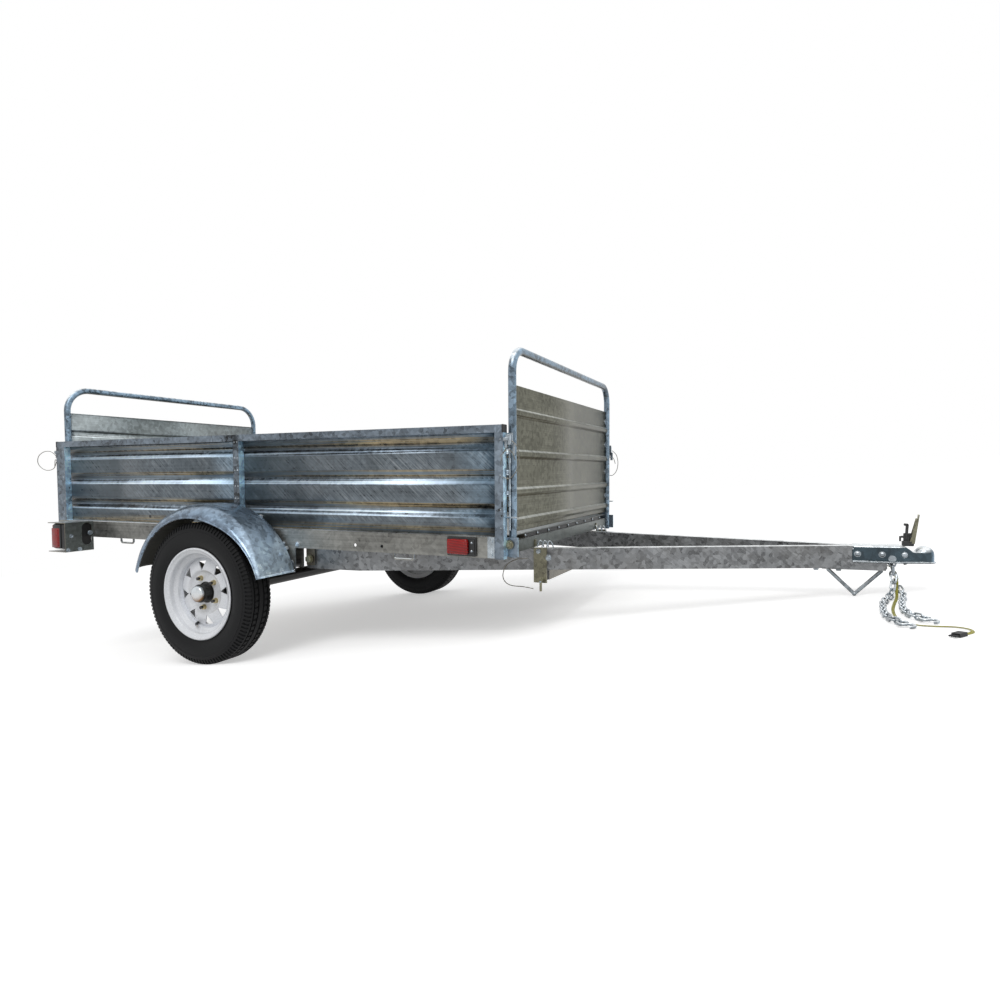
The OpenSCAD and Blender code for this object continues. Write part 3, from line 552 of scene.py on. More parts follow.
def smoothLine(points, steps=6):
    # points on a smooth curve through the given ones
    line = []
    last = len(points) - 1
    for index in range(last):
        a, b = Vector(points[max(index - 1, 0)]), Vector(points[index])
        c, d = Vector(points[index + 1]), Vector(points[min(index + 2, last)])
        for step in range(steps):
            t = step / steps
            line.append((2 * b + (c - a) * t + (2 * a - 5 * b + 4 * c - d) * t * t
                         + (3 * b - a - 3 * c + d) * t ** 3) / 2)
    return line + [Vector(points[last])]


def meshFrom(name, bm):
    mesh = bpy.data.meshes.new(name)
    bm.to_mesh(mesh)
    bm.free()
    return mesh


def finishMesh(name, mesh, look, body, crease=35):
    mesh.shade_smooth()
    mesh.set_sharp_from_angle(angle=radians(crease))
    piece = addObject(name, mesh)
    for one in [look] if isinstance(look, str) else look:
        mesh.materials.append(finish[one])
    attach(piece, body)
    return piece


def finishPiece(name, bm, look, body, where=bedFrame, thick=0.0, side=1, crease=35):
    # side -1 mirrors a piece made for the left side
    bmesh.ops.scale(bm, vec=(1, side, 1), verts=bm.verts)
    bmesh.ops.transform(bm, matrix=where, verts=bm.verts)
    bmesh.ops.remove_doubles(bm, verts=bm.verts, dist=1e-6)
    bmesh.ops.recalc_face_normals(bm, faces=bm.faces)
    piece = finishMesh(name, meshFrom(name, bm), look, body, crease)
    if thick:
        wall = piece.modifiers.new("thickness", "SOLIDIFY")
        wall.thickness = thick
        wall.offset = 0
        wall.use_even_offset = True
    return piece


def wirePiece(name, lines, radius, look, body, where=bedFrame, sides=3, side=1):
    # round wires along lists of points, as one mesh
    curve = bpy.data.curves.new(name, "CURVE")
    curve.dimensions = "3D"
    curve.bevel_depth = radius
    curve.bevel_resolution = sides
    curve.use_fill_caps = True
    for index, line in enumerate(lines):
        spline = curve.splines.new("POLY")
        spline.points.add(len(line) - 1)
        for point, place in zip(spline.points, line):
            point.co = (place[0], place[1] * side, place[2], 1)
        spline.material_index = index if isinstance(look, (list, tuple)) else 0
    carrier = bpy.data.objects.new(name + "_line", curve)
    mesh = bpy.data.meshes.new_from_object(carrier)
    bpy.data.objects.remove(carrier)
    bpy.data.curves.remove(curve)
    mesh.name = name
    mesh.transform(where)
    mesh.materials.clear()
    return finishMesh(name, mesh, look, body, 60)


# ---- cord: flat four-wire harness from the right tongue rail's mouth to its plug
harness = {"width": 0.009, "wireRadius": 0.00125, "wireGap": 0.0022, "drop": 0.0022}
harnessRoute = [[1627, -10, 101], [1636, -10, 96], [1644, -11, 88], [1649, -14, 76],
                [1649, -20, 63], [1649, -30, 48], [1645, -44, 34], [1641, -62, 21],
                [1638, -84, 10], [1633, -110, 5], [1625, -150, 4.4], [1615, -205, 4.4],
                [1605, -270, 4.4], [1600, -335, 4.4], [1601, -395, 4.4], [1612, -450, 4.4],
                [1638, -494, 4.4], [1677, -515, 4.4], [1715, -528, 4.4], [1739, -556, 4.4],
                [1739, -592, 4.4], [1715, -615, 4.4]]


def makeHarness():
    line = smoothLine([Vector(point) / 1000 for point in harnessRoute], 4)
    wires = [[] for _ in range(4)]
    for index, place in enumerate(line):
        ahead = line[min(index + 1, len(line) - 1)] - line[max(index - 1, 0)]
        across = ahead.cross(Vector((0.31, -0.02, 0.95))).normalized()
        flat = across.cross(ahead).normalized()
        for number, wire in enumerate(wires):
            wire.append(place + across * (number - 1.5) * harness["wireGap"]
                        - flat * harness["drop"])
    looks = ["wireYellow", "wireBrown", "wireWhite", "wireGreen"]
    piece = wirePiece("flat_harness", wires, harness["wireRadius"], looks, "tongue", worldFrame,
                      2)
    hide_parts("wiring_harness")


makeHarness()


# ---- finishes of the CAD's own pieces
def wear(look, *names):
    for name in names:
        mesh = nodes[name].data
        mesh.materials.clear()
        mesh.materials.append(finish[look])


wear("sideRailZinc", "side_rail_left", "side_rail_right")
wear("underZinc", "front_cross_rail", "rear_cross_rail", "cross_members", "floor_deck")
wear("topRailZinc", "wall_frame_left", "wall_frame_right")
wear("blackPaint", "axle", "leaf_spring_left", "leaf_spring_right", "hub_left", "hub_right")
wear("underZinc", "tail_light_bracket_left", "tail_light_bracket_right")
wear("brightZinc", "front_gate_latches", "rear_gate_latches")
wear("yellowZinc", "tilt_latch_plates")
wear("tongueZinc", "tongue_rail_left", "tongue_rail_right", "tongue_cross_tube", "nose_plate")
wear("brightZinc", "tongue_stand", "safety_chain_left", "safety_chain_right")
wear("blackPlastic", "wiring_plug")


# ---- side walls
wall = {"grooves": 3, "pitch": 0.1102, "depth": 0.018, "sheet": 0.0015, "bend": 0.005,
        "drops": ((0.008, 0), (0.030, 1), (0.038, 1), (0.060, 0)), "rivetDrops": (0.004, 0.066),
        "postRivets": (0.815, 0.70, 0.59, 0.53),
        # middle and height of each slot in the front post
        "slots": ((1.166, 0.608, 0.018), (1.155, 0.590, 0.008), (1.164, 0.571, 0.007)),
        "plug": (-0.511, 0.530), "pocket": (1.114, 1.1395), "pocketBolts": (0.489, 0.444)}
sides = {"left": 1, "right": -1}


def makeWallSheets(name, side):
    bm = bmesh.new()
    top = bed["wallTop"] - bed["topRail"]
    face = panelPlane - wall["sheet"] / 2
    post = bed["middle"] + bed["postWidth"] / 2
    for start, end in ((bed["rear"] + 0.022, post - 0.0005), (post + 0.0005, bed["front"] - 0.024)):
        outline = [(start, face, top)]
        for number in range(wall["grooves"]):
            for drop, inward in wall["drops"]:
                outline.append((start, face - inward * wall["depth"],
                                top - number * wall["pitch"] - drop))
        outline.append((start, face, bed["railTop"]))
        folded(bm, outline, (end - start, 0, 0), wall["bend"])
    piece = finishPiece("wall_sheets_" + name, bm, "wallZinc", "bed",
                        thick=wall["sheet"], side=side, crease=50)
    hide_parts("wall_panels_" + name)


def makeWallTrim(name, side):
    # rivets along the posts, slots in the front post drawn as thin black slabs of painted shade, and the plastic
    # caps on the top rail
    bm = bmesh.new()
    face, top = bed["halfWidth"], bed["wallTop"] - bed["topRail"]
    for number in range(wall["grooves"]):
        for drop in wall["rivetDrops"]:
            for x in (bed["middle"] + 0.008, bed["middle"] + 0.022):
                dome(bm, (x, face, top - number * wall["pitch"] - drop), (0, 1, 0), 0.0032, 0.0016)
    for x in (bed["rear"] + 0.010, bed["rear"] + 0.046, bed["front"] - 0.010):
        for z in wall["postRivets"]:
            dome(bm, (x, face, z), (0, 1, 0), 0.0030, 0.0014)
    finishPiece("wall_rivets_" + name, bm, "brightZinc", "bed", side=side)
    bm = bmesh.new()
    # each slot is a thin black slab on the post: painted shade in the opening
    for x, z, tall in wall["slots"]:
        slab(bm, (x - 0.003, face - 0.001, z - tall / 2), (x + 0.003, face + 0.0003, z + tall / 2),
             0.0006)
    x, z = wall["plug"]
    rod(bm, (x, panelPlane - 0.002, z), (x, panelPlane + 0.0004, z), 0.0065)
    for x in (bed["rear"] - 0.001, bed["front"] - 0.005):
        slab(bm, (x, panelPlane - 0.004, top - 0.001),
             (x + 0.006, face + 0.001, bed["wallTop"] + 0.001), 0.0018)
    finishPiece("rail_end_caps_" + name, bm, "blackPlastic", "bed", side=side)
    # bracket that closes the pocket behind the front post
    bm = bmesh.new()
    start, end = wall["pocket"]
    slab(bm, (start, face, bed["railLow"] + 0.001), (end, face + 0.0035, bed["railTop"]), 0.001)
    for z in wall["pocketBolts"]:
        bolt(bm, (1.127, face + 0.0035, z), (0, 1, 0), 0.0045)
    finishPiece("pocket_bracket_" + name, bm, "brightZinc", "bed", side=side)


# ---- gate sheets
gateSheet = {"top": 1.000, "low": 0.512, "ridges": (0.907, 0.771, 0.645, 0.545), "half": 0.0155,
             "slope": 0.009, "depth": 0.011, "sheet": 0.0015, "bend": 0.003, "setBack": 0.005,
             "rim": 0.012, "tabs": (0.95, 0.84, 0.71, 0.595)}


def makeGateSheet(name, forward):
    bm = bmesh.new()
    plane = gate[name] - forward * (gateSheet["setBack"] + gateSheet["sheet"] / 2)
    edge = gate["reach"] - gate["tube"] - 0.0005
    outline = [(plane - forward * gateSheet["rim"], -edge, gateSheet["top"] - 0.001),
               (plane, -edge, gateSheet["top"] - 0.001)]
    for z in gateSheet["ridges"]:
        for out, rise in ((0, 1), (1, 1), (1, -1), (0, -1)):
            step = gateSheet["half"] - (gateSheet["slope"] if out else 0)
            outline.append((plane + forward * out * gateSheet["depth"], -edge, z + rise * step))
    outline += [(plane, -edge, gateSheet["low"] + 0.001),
                (plane - forward * gateSheet["rim"], -edge, gateSheet["low"] + 0.001)]
    folded(bm, outline, (0, 2 * edge, 0), gateSheet["bend"])
    # the front sheet takes painted shade and the rear sheet painted light
    look = "gateZinc" if forward > 0 else "rearGateZinc"
    piece = finishPiece(name + "_gate_sheet", bm, look, name + "_gate",
                        thick=gateSheet["sheet"], crease=50)
    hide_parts(name + "_gate_panel")


hoop = {"tube": 0.0136, "bend": {"front": 0.078, "rear": 0.105}, "top": 1.127, "foot": 0.530}


def makeGateHoop(name):
    # one bent tube with wide corners, on two straight feet that hold the hinge pins
    reach = gate["reach"] + gate["tube"] - hoop["tube"]
    top, bend = hoop["top"] - hoop["tube"], hoop["bend"][name]
    arc = []
    for step in range(13):
        turn = step * pi / 24
        arc.append((reach - bend * (1 - cos(turn)), top - bend * (1 - sin(turn))))
    half = [(reach, hoop["foot"])] + arc
    path = [Vector((gate[name], -y, z)) for y, z in half]
    path += [Vector((gate[name], y, z)) for y, z in reversed(half)]
    piece = wirePiece(name + "_gate_hoop", [path], hoop["tube"], "gateTubeZinc", name + "_gate",
                      sides=8)
    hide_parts(name + "_gate_frame")
    ends = (bed["railLow"], hoop["foot"] + 0.004)
    feet = [[Vector((gate[name], side * gate["reach"], z)) for z in ends] for side in (-1, 1)]
    wirePiece(name + "_gate_feet", feet, gate["tube"], "gateTubeZinc", name + "_gate",
              sides=8)


def makeGateTrim(name, forward):
    # welded tabs between sheet and tube, and the rivets in them
    bm = bmesh.new()
    x = gate[name]
    for side in (-1, 1):
        y = side * (gate["reach"] - gate["tube"] - 0.006)
        for z in gateSheet["tabs"]:
            slab(bm, (x - 0.006, y, z - 0.012), (x - 0.002, y + side * 0.012, z + 0.012), 0.001)
            dome(bm, (x - forward * 0.004, y - side * 0.012, z), (forward, 0, 0), 0.004, 0.0022)
    finishPiece(name + "_gate_tabs", bm, "brightZinc", name + "_gate")


# ---- fenders
fender = {"radius": 0.354, "middle": -0.016, "height": 0.246, "end": 73.8, "flat": 0.105,
          "out": 0.192, "drop": 0.050, "sheet": 0.0018, "lip": 0.004, "flareFrom": 12,
          "flare": 0.75}


def flareFender(bm, centre):
    # the outer skirt opens out towards the front end
    for vert in bm.verts:
        x, z = vert.co.x - centre[0], vert.co.z - centre[2]
        radius, angle = sqrt(x * x + z * z), degrees(atan2(x, z))
        share = (angle - fender["flareFrom"]) / (fender["end"] - fender["flareFrom"])
        skirt = fender["radius"] - fender["sheet"] - radius
        if share <= 0 or skirt <= 0 or vert.co.y < bed["halfWidth"] + fender["flat"]:
            continue
        share = share * share * (3 - 2 * share)
        scaled = (radius + skirt * share * fender["flare"]) / radius
        vert.co.x, vert.co.z = centre[0] + x * scaled, centre[2] + z * scaled


def makeFender(name, side):
    bm = bmesh.new()
    centre = (fender["middle"], bed["halfWidth"], fender["height"])
    inset = fender["sheet"] / 2
    outline = [(fender["radius"] - 0.013 - inset, 0), (fender["radius"] - 0.004 - inset, 0.016),
               (fender["radius"] - 0.001 - inset, 0.038)]
    for step in range(11):
        bendTurn = step * pi / 20
        outline.append((fender["radius"] - inset - (fender["drop"] - inset) * (1 - cos(bendTurn)),
                        fender["flat"] + (fender["out"] - fender["flat"] - inset) * sin(bendTurn)))
    start = (-sin(radians(fender["end"])), 0, cos(radians(fender["end"])))
    turned(bm, outline, centre, 96, angle=2 * radians(fender["end"]), start=start)
    flareFender(bm, centre)
    piece = finishPiece("fender_shell_" + name, bm, ["fenderZinc", "insideShadeAndDirtZinc"], "bed",
                        thick=fender["sheet"], side=side, crease=60)
    piece.modifiers["thickness"].material_offset = 1  # the inner side is darker: painted shade, with road dirt
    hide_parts("fender_" + name)
    bm = bmesh.new()
    lip = [(fender["radius"] - fender["drop"] + fender["lip"] * cos(step * pi / 6),
            fender["out"] - 0.001 + fender["lip"] * sin(step * pi / 6)) for step in range(13)]
    turned(bm, lip, centre, 96, angle=2 * radians(fender["end"]), start=start)
    flareFender(bm, centre)
    bmesh.ops.remove_doubles(bm, verts=bm.verts, dist=1e-6)
    bmesh.ops.holes_fill(bm, edges=bm.edges, sides=14)
    finishPiece("fender_lip_" + name, bm, "fenderZinc", "bed", side=side)
    # bolts that hold the fender to the wall and its rear stay
    bm = bmesh.new()
    for angle in (-58, -30, 30, 58):
        reach = fender["radius"] - 0.006
        bolt(bm, (fender["middle"] + reach * sin(radians(angle)), bed["halfWidth"] + 0.012,
                  fender["height"] + reach * cos(radians(angle))),
             (sin(radians(angle)), 0, cos(radians(angle))), 0.0042)
    finishPiece("fender_bolts_" + name, bm, "brightZinc", "bed", side=side)


# ---- tyres
tyre = {"steps": 216, "notch": 0.0034, "sideWall": (
    (0.1524, 0.0488), (0.168, 0.0490), (0.176, 0.0512), (0.184, 0.0556), (0.194, 0.0600),
    (0.206, 0.0622), (0.220, 0.0622), (0.2320, 0.0606), (0.2332, 0.0616), (0.2356, 0.0610),
    (0.2368, 0.0594), (0.2450, 0.0570), (0.2525, 0.0536), (0.2590, 0.0510), (0.2638, 0.0470)),
    "tread": ((0.2652, 0.0430), (0.2655, 0.0350), (0.2605, 0.0342), (0.2605, 0.0296),
              (0.2655, 0.0288), (0.2655, 0.0150), (0.2605, 0.0142), (0.2605, 0.0096),
              (0.2655, 0.0088))}


def makeTyre(name, side):
    bm = bmesh.new()
    centre = wheelCentre
    half = list(tyre["sideWall"] + tyre["tread"])
    outline = half + [(radius, -step) for radius, step in reversed(half)] + [half[0]]
    turned(bm, outline, centre, tyre["steps"])
    bmesh.ops.remove_doubles(bm, verts=bm.verts, dist=1e-6)
    bmesh.ops.recalc_face_normals(bm, faces=bm.faces)
    shoulder, rib = [], []
    for face in bm.faces:
        middle = face.calc_center_median() - centre
        radius, step = sqrt(middle.x ** 2 + middle.z ** 2), abs(middle.y)
        number = int((atan2(middle.x, middle.z) % (2 * pi)) / (2 * pi) * tyre["steps"])
        if 0.2455 < radius < 0.2650 and 0.044 < step < 0.0565 and number % 2 == 0:
            shoulder.append(face)
        if radius > 0.2650 and 0.016 < step < 0.028 and number % 3 == 1:
            rib.append(face)
    for faces in (shoulder, rib):
        bmesh.ops.inset_region(bm, faces=faces, thickness=0.0004, depth=-tyre["notch"],
                               use_boundary=True, use_even_offset=True)
    piece = finishPiece("tyre_tread_" + name, bm, "tyreRubber", "wheel_" + name,
                        side=side, crease=28)
    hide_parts("tyre_" + name)


# ---- rims
rim = {"half": 0.056, "flange": 0.1715, "seat": 0.1524, "well": 0.132, "sheet": 0.003,
       "disc": ((0.0405, 0.006), (0.074, 0.006), (0.0785, 0.0085), (0.084, 0.0145),
                (0.088, 0.0155), (0.104, 0.0125), (0.120, 0.0085), (0.127, 0.0045), (0.133, 0.0)),
       "plate": 0.0038, "vents": 8, "firstVent": 7, "ventInner": 0.083, "ventOuter": 0.119,
       "ventHalf": 0.0205}


def makeRim(name, side):
    # rolled barrel, and a pressed disc with eight three-cornered vents
    centre = wheelCentre
    h, flange, seat, well = rim["half"], rim["flange"], rim["seat"], rim["well"]
    barrel = [(flange, h - 0.0035), (flange - 0.0010, h - 0.0012), (flange - 0.0034, h - 0.0006),
              (flange - 0.0062, h - 0.0014), (flange - 0.0080, h - 0.0045),
              (seat + 0.0030, h - 0.0062), (seat - 0.0008, h - 0.0085), (seat - 0.0015, h - 0.012),
              (seat - 0.0015, h - 0.0235), (seat - 0.0035, h - 0.0275),
              (well + 0.0035, h - 0.0305), (well + 0.0015, h - 0.034), (well + 0.0015, -h + 0.039),
              (seat - 0.0015, -h + 0.029), (seat - 0.0015, -h + 0.009),
              (flange - 0.0075, -h + 0.0035), (flange - 0.002, -h + 0.001), (flange, -h + 0.0035)]
    bm = bmesh.new()
    turned(bm, barrel, centre, 128)
    finishPiece("rim_barrel_" + name, bm, "wheelPaint", "wheel_" + name,
                thick=rim["sheet"], side=side, crease=60)
    bm = bmesh.new()
    closed = list(rim["disc"])
    closed += [(radius, step + rim["plate"]) for radius, step in reversed(closed)]
    turned(bm, closed + closed[:1], centre, 128)
    bmesh.ops.remove_doubles(bm, verts=bm.verts, dist=1e-6)
    cutter = bmesh.new()
    for number in range(rim["vents"]):
        angle = radians(rim["firstVent"] + number * 360 / rim["vents"])
        out, over = Vector((cos(angle), 0, sin(angle))), Vector((-sin(angle), 0, cos(angle)))
        outer = centre + out * rim["ventOuter"]
        corners = [centre + out * rim["ventInner"], outer + over * rim["ventHalf"],
                   outer - over * rim["ventHalf"]]
        face = cutter.faces.new([cutter.verts.new(corner - Vector((0, 0.02, 0)))
                                 for corner in corners])
        pushed = bmesh.ops.extrude_face_region(cutter, geom=[face])
        bmesh.ops.translate(cutter, vec=(0, 0.06, 0), verts=vertsOf(pushed))
    bmesh.ops.scale(bm, vec=(1, side, 1), verts=bm.verts)
    bmesh.ops.scale(cutter, vec=(1, side, 1), verts=cutter.verts)
    mesh = carve("rim_disc_" + name, bm, cutter, fused=False)
    mesh.transform(bedFrame)
    piece = finishMesh("rim_disc_" + name, mesh, "wheelPaint", "wheel_" + name, 40)
    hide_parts("rim_" + name)


# ---- wheel fittings
hub = {"radius": 0.0312, "ribs": 30, "ribWidth": 0.0034, "ribDepth": 0.0022, "start": 0.010,
       "end": 0.0425, "rings": (0.0135, 0.0395),
       "ring": ((0.0026, -0.0025), (0.0032, 0), (0.0026, 0.0025), (-0.002, 0.0025),
                (-0.002, -0.0025), (0.0026, -0.0025)),
       "cap": ((0.0296, 0.0425), (0.0302, 0.0500), (0.0292, 0.0540), (0.0250, 0.0572),
               (0.0130, 0.0588), (0.0, 0.0592)),
       "nut": 0.0096, "valve": (-0.046, -0.118)}


def makeHub(name, side):
    centre = wheelCentre
    body = "wheel_" + name
    bm = bmesh.new()
    for number in range(hub["ribs"]):
        verts = block(bm, (hub["ribWidth"], hub["end"] - hub["start"], 2 * hub["ribDepth"]),
                      (0, (hub["end"] + hub["start"]) / 2, hub["radius"]))
        turn = Matrix.Rotation(2 * pi * number / hub["ribs"], 4, "Y")
        bmesh.ops.transform(bm, verts=verts, matrix=Matrix.Translation(centre) @ turn)
    for place in hub["rings"]:
        ring = [(hub["radius"] + out, place + step) for out, step in hub["ring"]]
        turned(bm, ring, centre, 60)
    finishPiece("hub_ribs_" + name, bm, "blackPaint", body, side=side)
    bm = bmesh.new()
    turned(bm, hub["cap"], centre, 64)
    finishPiece("hub_cap_" + name, bm, "chrome", body, side=side, crease=50)
    bm = bmesh.new()
    outward = Vector((0, 1, 0))
    for number in range(5):
        angle = radians(wheel["firstLug"] - 72 * number)
        foot = centre + Vector((cos(angle), 0, sin(angle))) * wheel["lugCircle"]
        rod(bm, foot + outward * 0.0055, foot + outward * 0.0105, 0.0125, 24, endRadius=0.0100)
        rod(bm, foot + outward * 0.0100, foot + outward * 0.0200, hub["nut"], 6, softEnd=0.0018)
        dome(bm, foot + outward * 0.0192, outward, 0.0062, 0.0075)
    finishPiece("lug_nuts_" + name, bm, "goldNut", body, side=side)
    x, z = hub["valve"]
    bends = ((x, -0.006, z), (x + 0.001, 0.010, z), (x + 0.008, 0.026, z - 0.002),
             (x + 0.022, 0.036, z - 0.004))
    stem = smoothLine([centre + Vector(point) for point in bends], 4)
    tip = [stem[-1], stem[-1] + (stem[-1] - stem[-2]).normalized() * 0.009]
    wirePiece("valve_stem_" + name, [stem], 0.0046, "blackPlastic", body, side=side)
    wirePiece("valve_tip_" + name, [tip], 0.0030, "chrome", body, side=side)


# ---- lights
tailLight = {"plate": -0.850, "width": 0.125, "sheet": 0.003, "deep": 0.089, "low": -0.044,
             "high": 0.067}
marker = {"start": 0.967, "length": 0.108}


def makeLights(name, side):
    face, low = bed["halfWidth"], bed["railLow"]
    plate, out = tailLight["plate"], face + tailLight["width"]
    back = plate - tailLight["deep"]
    bm = bmesh.new()
    slab(bm, (back, face + 0.004, low + tailLight["low"]),
         (plate - tailLight["sheet"] - 0.0004, out - 0.003, low + tailLight["high"]), 0.009, 4)
    slab(bm, (back + 0.008, out - 0.012, low + tailLight["low"] + 0.004),
         (plate - 0.030, out + 0.0012, low + tailLight["high"] - 0.004), 0.003, 2)
    piece = finishPiece("tail_light_body_" + name, bm, "blackPlastic", "bed", side=side)
    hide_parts("tail_light_" + name)
    bm = bmesh.new()
    slab(bm, (back - 0.009, face + 0.008, low - 0.036), (back + 0.002, out - 0.006, low + 0.060),
         0.004, 3)
    slab(bm, (back - 0.016, face + 0.020, low - 0.030), (back - 0.006, out - 0.008, low + 0.040),
         0.004, 3)
    slab(bm, (back - 0.001, out - 0.004, low - 0.038), (plate - 0.037, out + 0.0022, low + 0.047),
         0.002, 2)
    slab(bm, (back + 0.004, out - 0.002, low - 0.031), (plate - 0.043, out + 0.005, low + 0.041),
         0.003, 3)
    finishPiece("tail_light_lens_" + name, bm, "redLens", "bed", side=side)
    bm = bmesh.new()
    start = marker["start"]
    slab(bm, (start, face + 0.0002, low + 0.004),
         (start + marker["length"], face + 0.009, low + 0.067), 0.004, 3)
    slab(bm, (start + 0.083, face + 0.006, low + 0.010), (start + 0.104, face + 0.013, low + 0.061),
         0.003, 3)
    piece = finishPiece("side_marker_base_" + name, bm, "blackPlastic", "bed", side=side)
    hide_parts("side_marker_" + name)
    bm = bmesh.new()
    slab(bm, (start + 0.006, face + 0.007, low + 0.010), (start + 0.083, face + 0.024, low + 0.061),
         0.007, 4)
    slab(bm, (start + 0.014, face + 0.020, low + 0.018), (start + 0.075, face + 0.0255, low + 0.053),
         0.003, 3)
    finishPiece("side_marker_lens_" + name, bm, "redLens", "bed", side=side)
    bm = bmesh.new()
    for z in (low + 0.022, low + 0.049):
        dome(bm, (start + 0.094, face + 0.013, z), (0, 1, 0), 0.0042, 0.0024)
    finishPiece("side_marker_screws_" + name, bm, "brightZinc", "bed", side=side)


# ---- bolts and brackets on the bed
bedBolts = {
    # y, z and radius of the bolts in the front plate of the tail light guard
    "guard": ((0.735, 0.444, 0.0040), (0.750, 0.384, 0.0042), (0.700, 0.384, 0.0042),
              (0.652, 0.452, 0.0050)),
    "hangers": (-0.290, 0.290), "hangerHeight": 0.370, "rail": (0.255, 0.325), "railHeight": 0.446,
    "hingeReach": 0.0162, "clamps": (-0.033, 0.033), "clampTop": 0.3175, "clampLow": 0.2325,
}


def makeBedBolts(name, side):
    face = bed["halfWidth"]
    bm = bmesh.new()
    for y, z, size in bedBolts["guard"]:
        bolt(bm, (tailLight["plate"], y, z), (1, 0, 0), size)
    for x in bedBolts["hangers"]:
        bolt(bm, (x, face - 0.0005, bedBolts["hangerHeight"]), (0, 1, 0), 0.0075)
        bolt(bm, (x, face - 0.048, bedBolts["hangerHeight"]), (0, -1, 0), 0.0075)
    for x in bedBolts["rail"]:
        bolt(bm, (x, face, bedBolts["railHeight"]), (0, 1, 0), 0.0045)
    finishPiece("bracket_bolts_" + name, bm, "brightZinc", "bed", side=side)
    bm = bmesh.new()
    for x in (gate["front"], gate["rear"]):
        out = gate["reach"] + gate["tube"] + bedBolts["hingeReach"]
        bolt(bm, (x, out, gate["hinge"]), (0, 1, 0), 0.0068, thread=0.004)
    finishPiece("gate_hinge_bolts_" + name, bm, "yellowZinc", "bed", side=side)
    bm = bmesh.new()
    for x in bedBolts["clamps"]:
        for y in (face - 0.051, face + 0.003):
            bolt(bm, (x, y, bedBolts["clampTop"]), (0, 0, 1), 0.0055, thread=0.004)
            bolt(bm, (x, y, bedBolts["clampLow"]), (0, 0, -1), 0.0055, thread=0.004)
    finishPiece("axle_clamp_nuts_" + name, bm, "yellowZinc", "bed", side=side)


deckEnds = {"planks": 10, "edge": 0.061, "gap": 0.0016, "low": 0.4845, "high": 0.4998,
            "boltHeight": 0.4930}


def makeDeckEnds():
    # dark slabs of painted shade in the open ends of the planks, and a bright bolt at each joint
    planks, gap = deckEnds["planks"], deckEnds["gap"]
    width = 2 * (bed["halfWidth"] - deckEnds["edge"]) / planks
    bm = bmesh.new()
    bolts = bmesh.new()
    for end, forward in ((bed["front"] + 0.003, 1), (bed["rear"] - 0.002, -1)):
        for number in range(1, planks):
            y = -width * planks / 2 + number * width
            dome(bolts, (end, y, deckEnds["boltHeight"]), (forward, 0, 0), 0.0046, 0.0032)
            # the black slabs paint the shade inside the hollow plank ends
            if number < planks - 1:
                slab(bm, (end - forward * 0.002, y + gap, deckEnds["low"]),
                     (end - forward * 0.020, y + width - gap, deckEnds["high"]), 0.0008, 1)
    finishPiece("deck_end_painted_shade", bm, "blackPlastic", "bed")
    finishPiece("deck_end_bolts", bolts, "brightZinc", "bed")


# ---- latches, pins and their lanyards
latch = {"height": 0.815, "collars": (0.74, 0.655, 0.60), "strap": 0.562, "rodLow": 0.522}
# a lanyard's points: away from the gate's plane, out from the wall, and height
lanyard = {
    "radius": 0.0015,
    "front": ((0.006, 0.020, 0.795), (-0.012, 0.026, 0.758), (-0.014, 0.024, 0.706),
              (0.010, 0.022, 0.690), (0.034, 0.020, 0.712), (0.043, 0.016, 0.752),
              (0.036, 0.012, 0.790), (0.016, 0.010, 0.812)),
    # the rear one hangs out in one wide loop behind the wall
    "rear": ((0.004, 0.020, 0.796), (0.046, 0.018, 0.818), (0.104, 0.014, 0.820),
             (0.152, 0.012, 0.800), (0.160, 0.012, 0.768), (0.126, 0.014, 0.742),
             (0.074, 0.018, 0.732), (0.026, 0.020, 0.742), (0.006, 0.020, 0.772)),
    "short": ((-0.026, 0.022, 0.732), (-0.016, 0.026, 0.762), (0.004, 0.024, 0.781),
              (0.020, 0.018, 0.775), (0.030, 0.014, 0.748)),
}


def makeGateLatch(end, name, side):
    # spring pin through the block, its keeper and the thin lanyard that holds the pin
    x, forward = gate[end], 1 if end == "front" else -1
    z, face = latch["height"], panelPlane
    bm = bmesh.new()
    slab(bm, (x - 0.010 + 0.002 * forward, face - 0.001, z - 0.017),
         (x + 0.010 + 0.002 * forward, face + 0.017, z + 0.017), 0.002)
    for number in range(4):
        coil = face + 0.017 + number * 0.0032
        rod(bm, (x, coil, z), (x, coil + 0.0016, z), 0.0074, softEnd=0.0006)
    for rise in (0.012, -0.012):
        bolt(bm, (x - 0.020 * forward, face - 0.0002, z + rise), (0, 1, 0), 0.0036)
    keeper = x + forward * 0.016
    slab(bm, (keeper - 0.006, face - 0.004, z - 0.050), (keeper + 0.006, face - 0.001, z - 0.012),
         0.001)
    # rod beside the gate's foot, and the strap that keeps it
    y = face - 0.008
    rod(bm, (x, y, latch["rodLow"]), (x, y, z - 0.026), 0.0032, 14)
    for height in latch["collars"]:
        rod(bm, (x, y, height), (x, y, height + 0.016), 0.0046, 14, softEnd=0.0008)
    slab(bm, (x - forward * 0.010, face - 0.014, latch["strap"]),
         (x + forward * 0.024, face + 0.002, latch["strap"] + 0.005), 0.001)
    finishPiece(end + "_latch_fittings_" + name, bm, "brightZinc", "bed",
                side=side)
    loops = [smoothLine([(x + out * forward, face + gap, height)
                         for out, gap, height in lanyard[loop]], 5) for loop in (end, "short")]
    wirePiece(end + "_latch_lanyard_" + name, loops, lanyard["radius"], "underZinc", "bed",
              side=side)


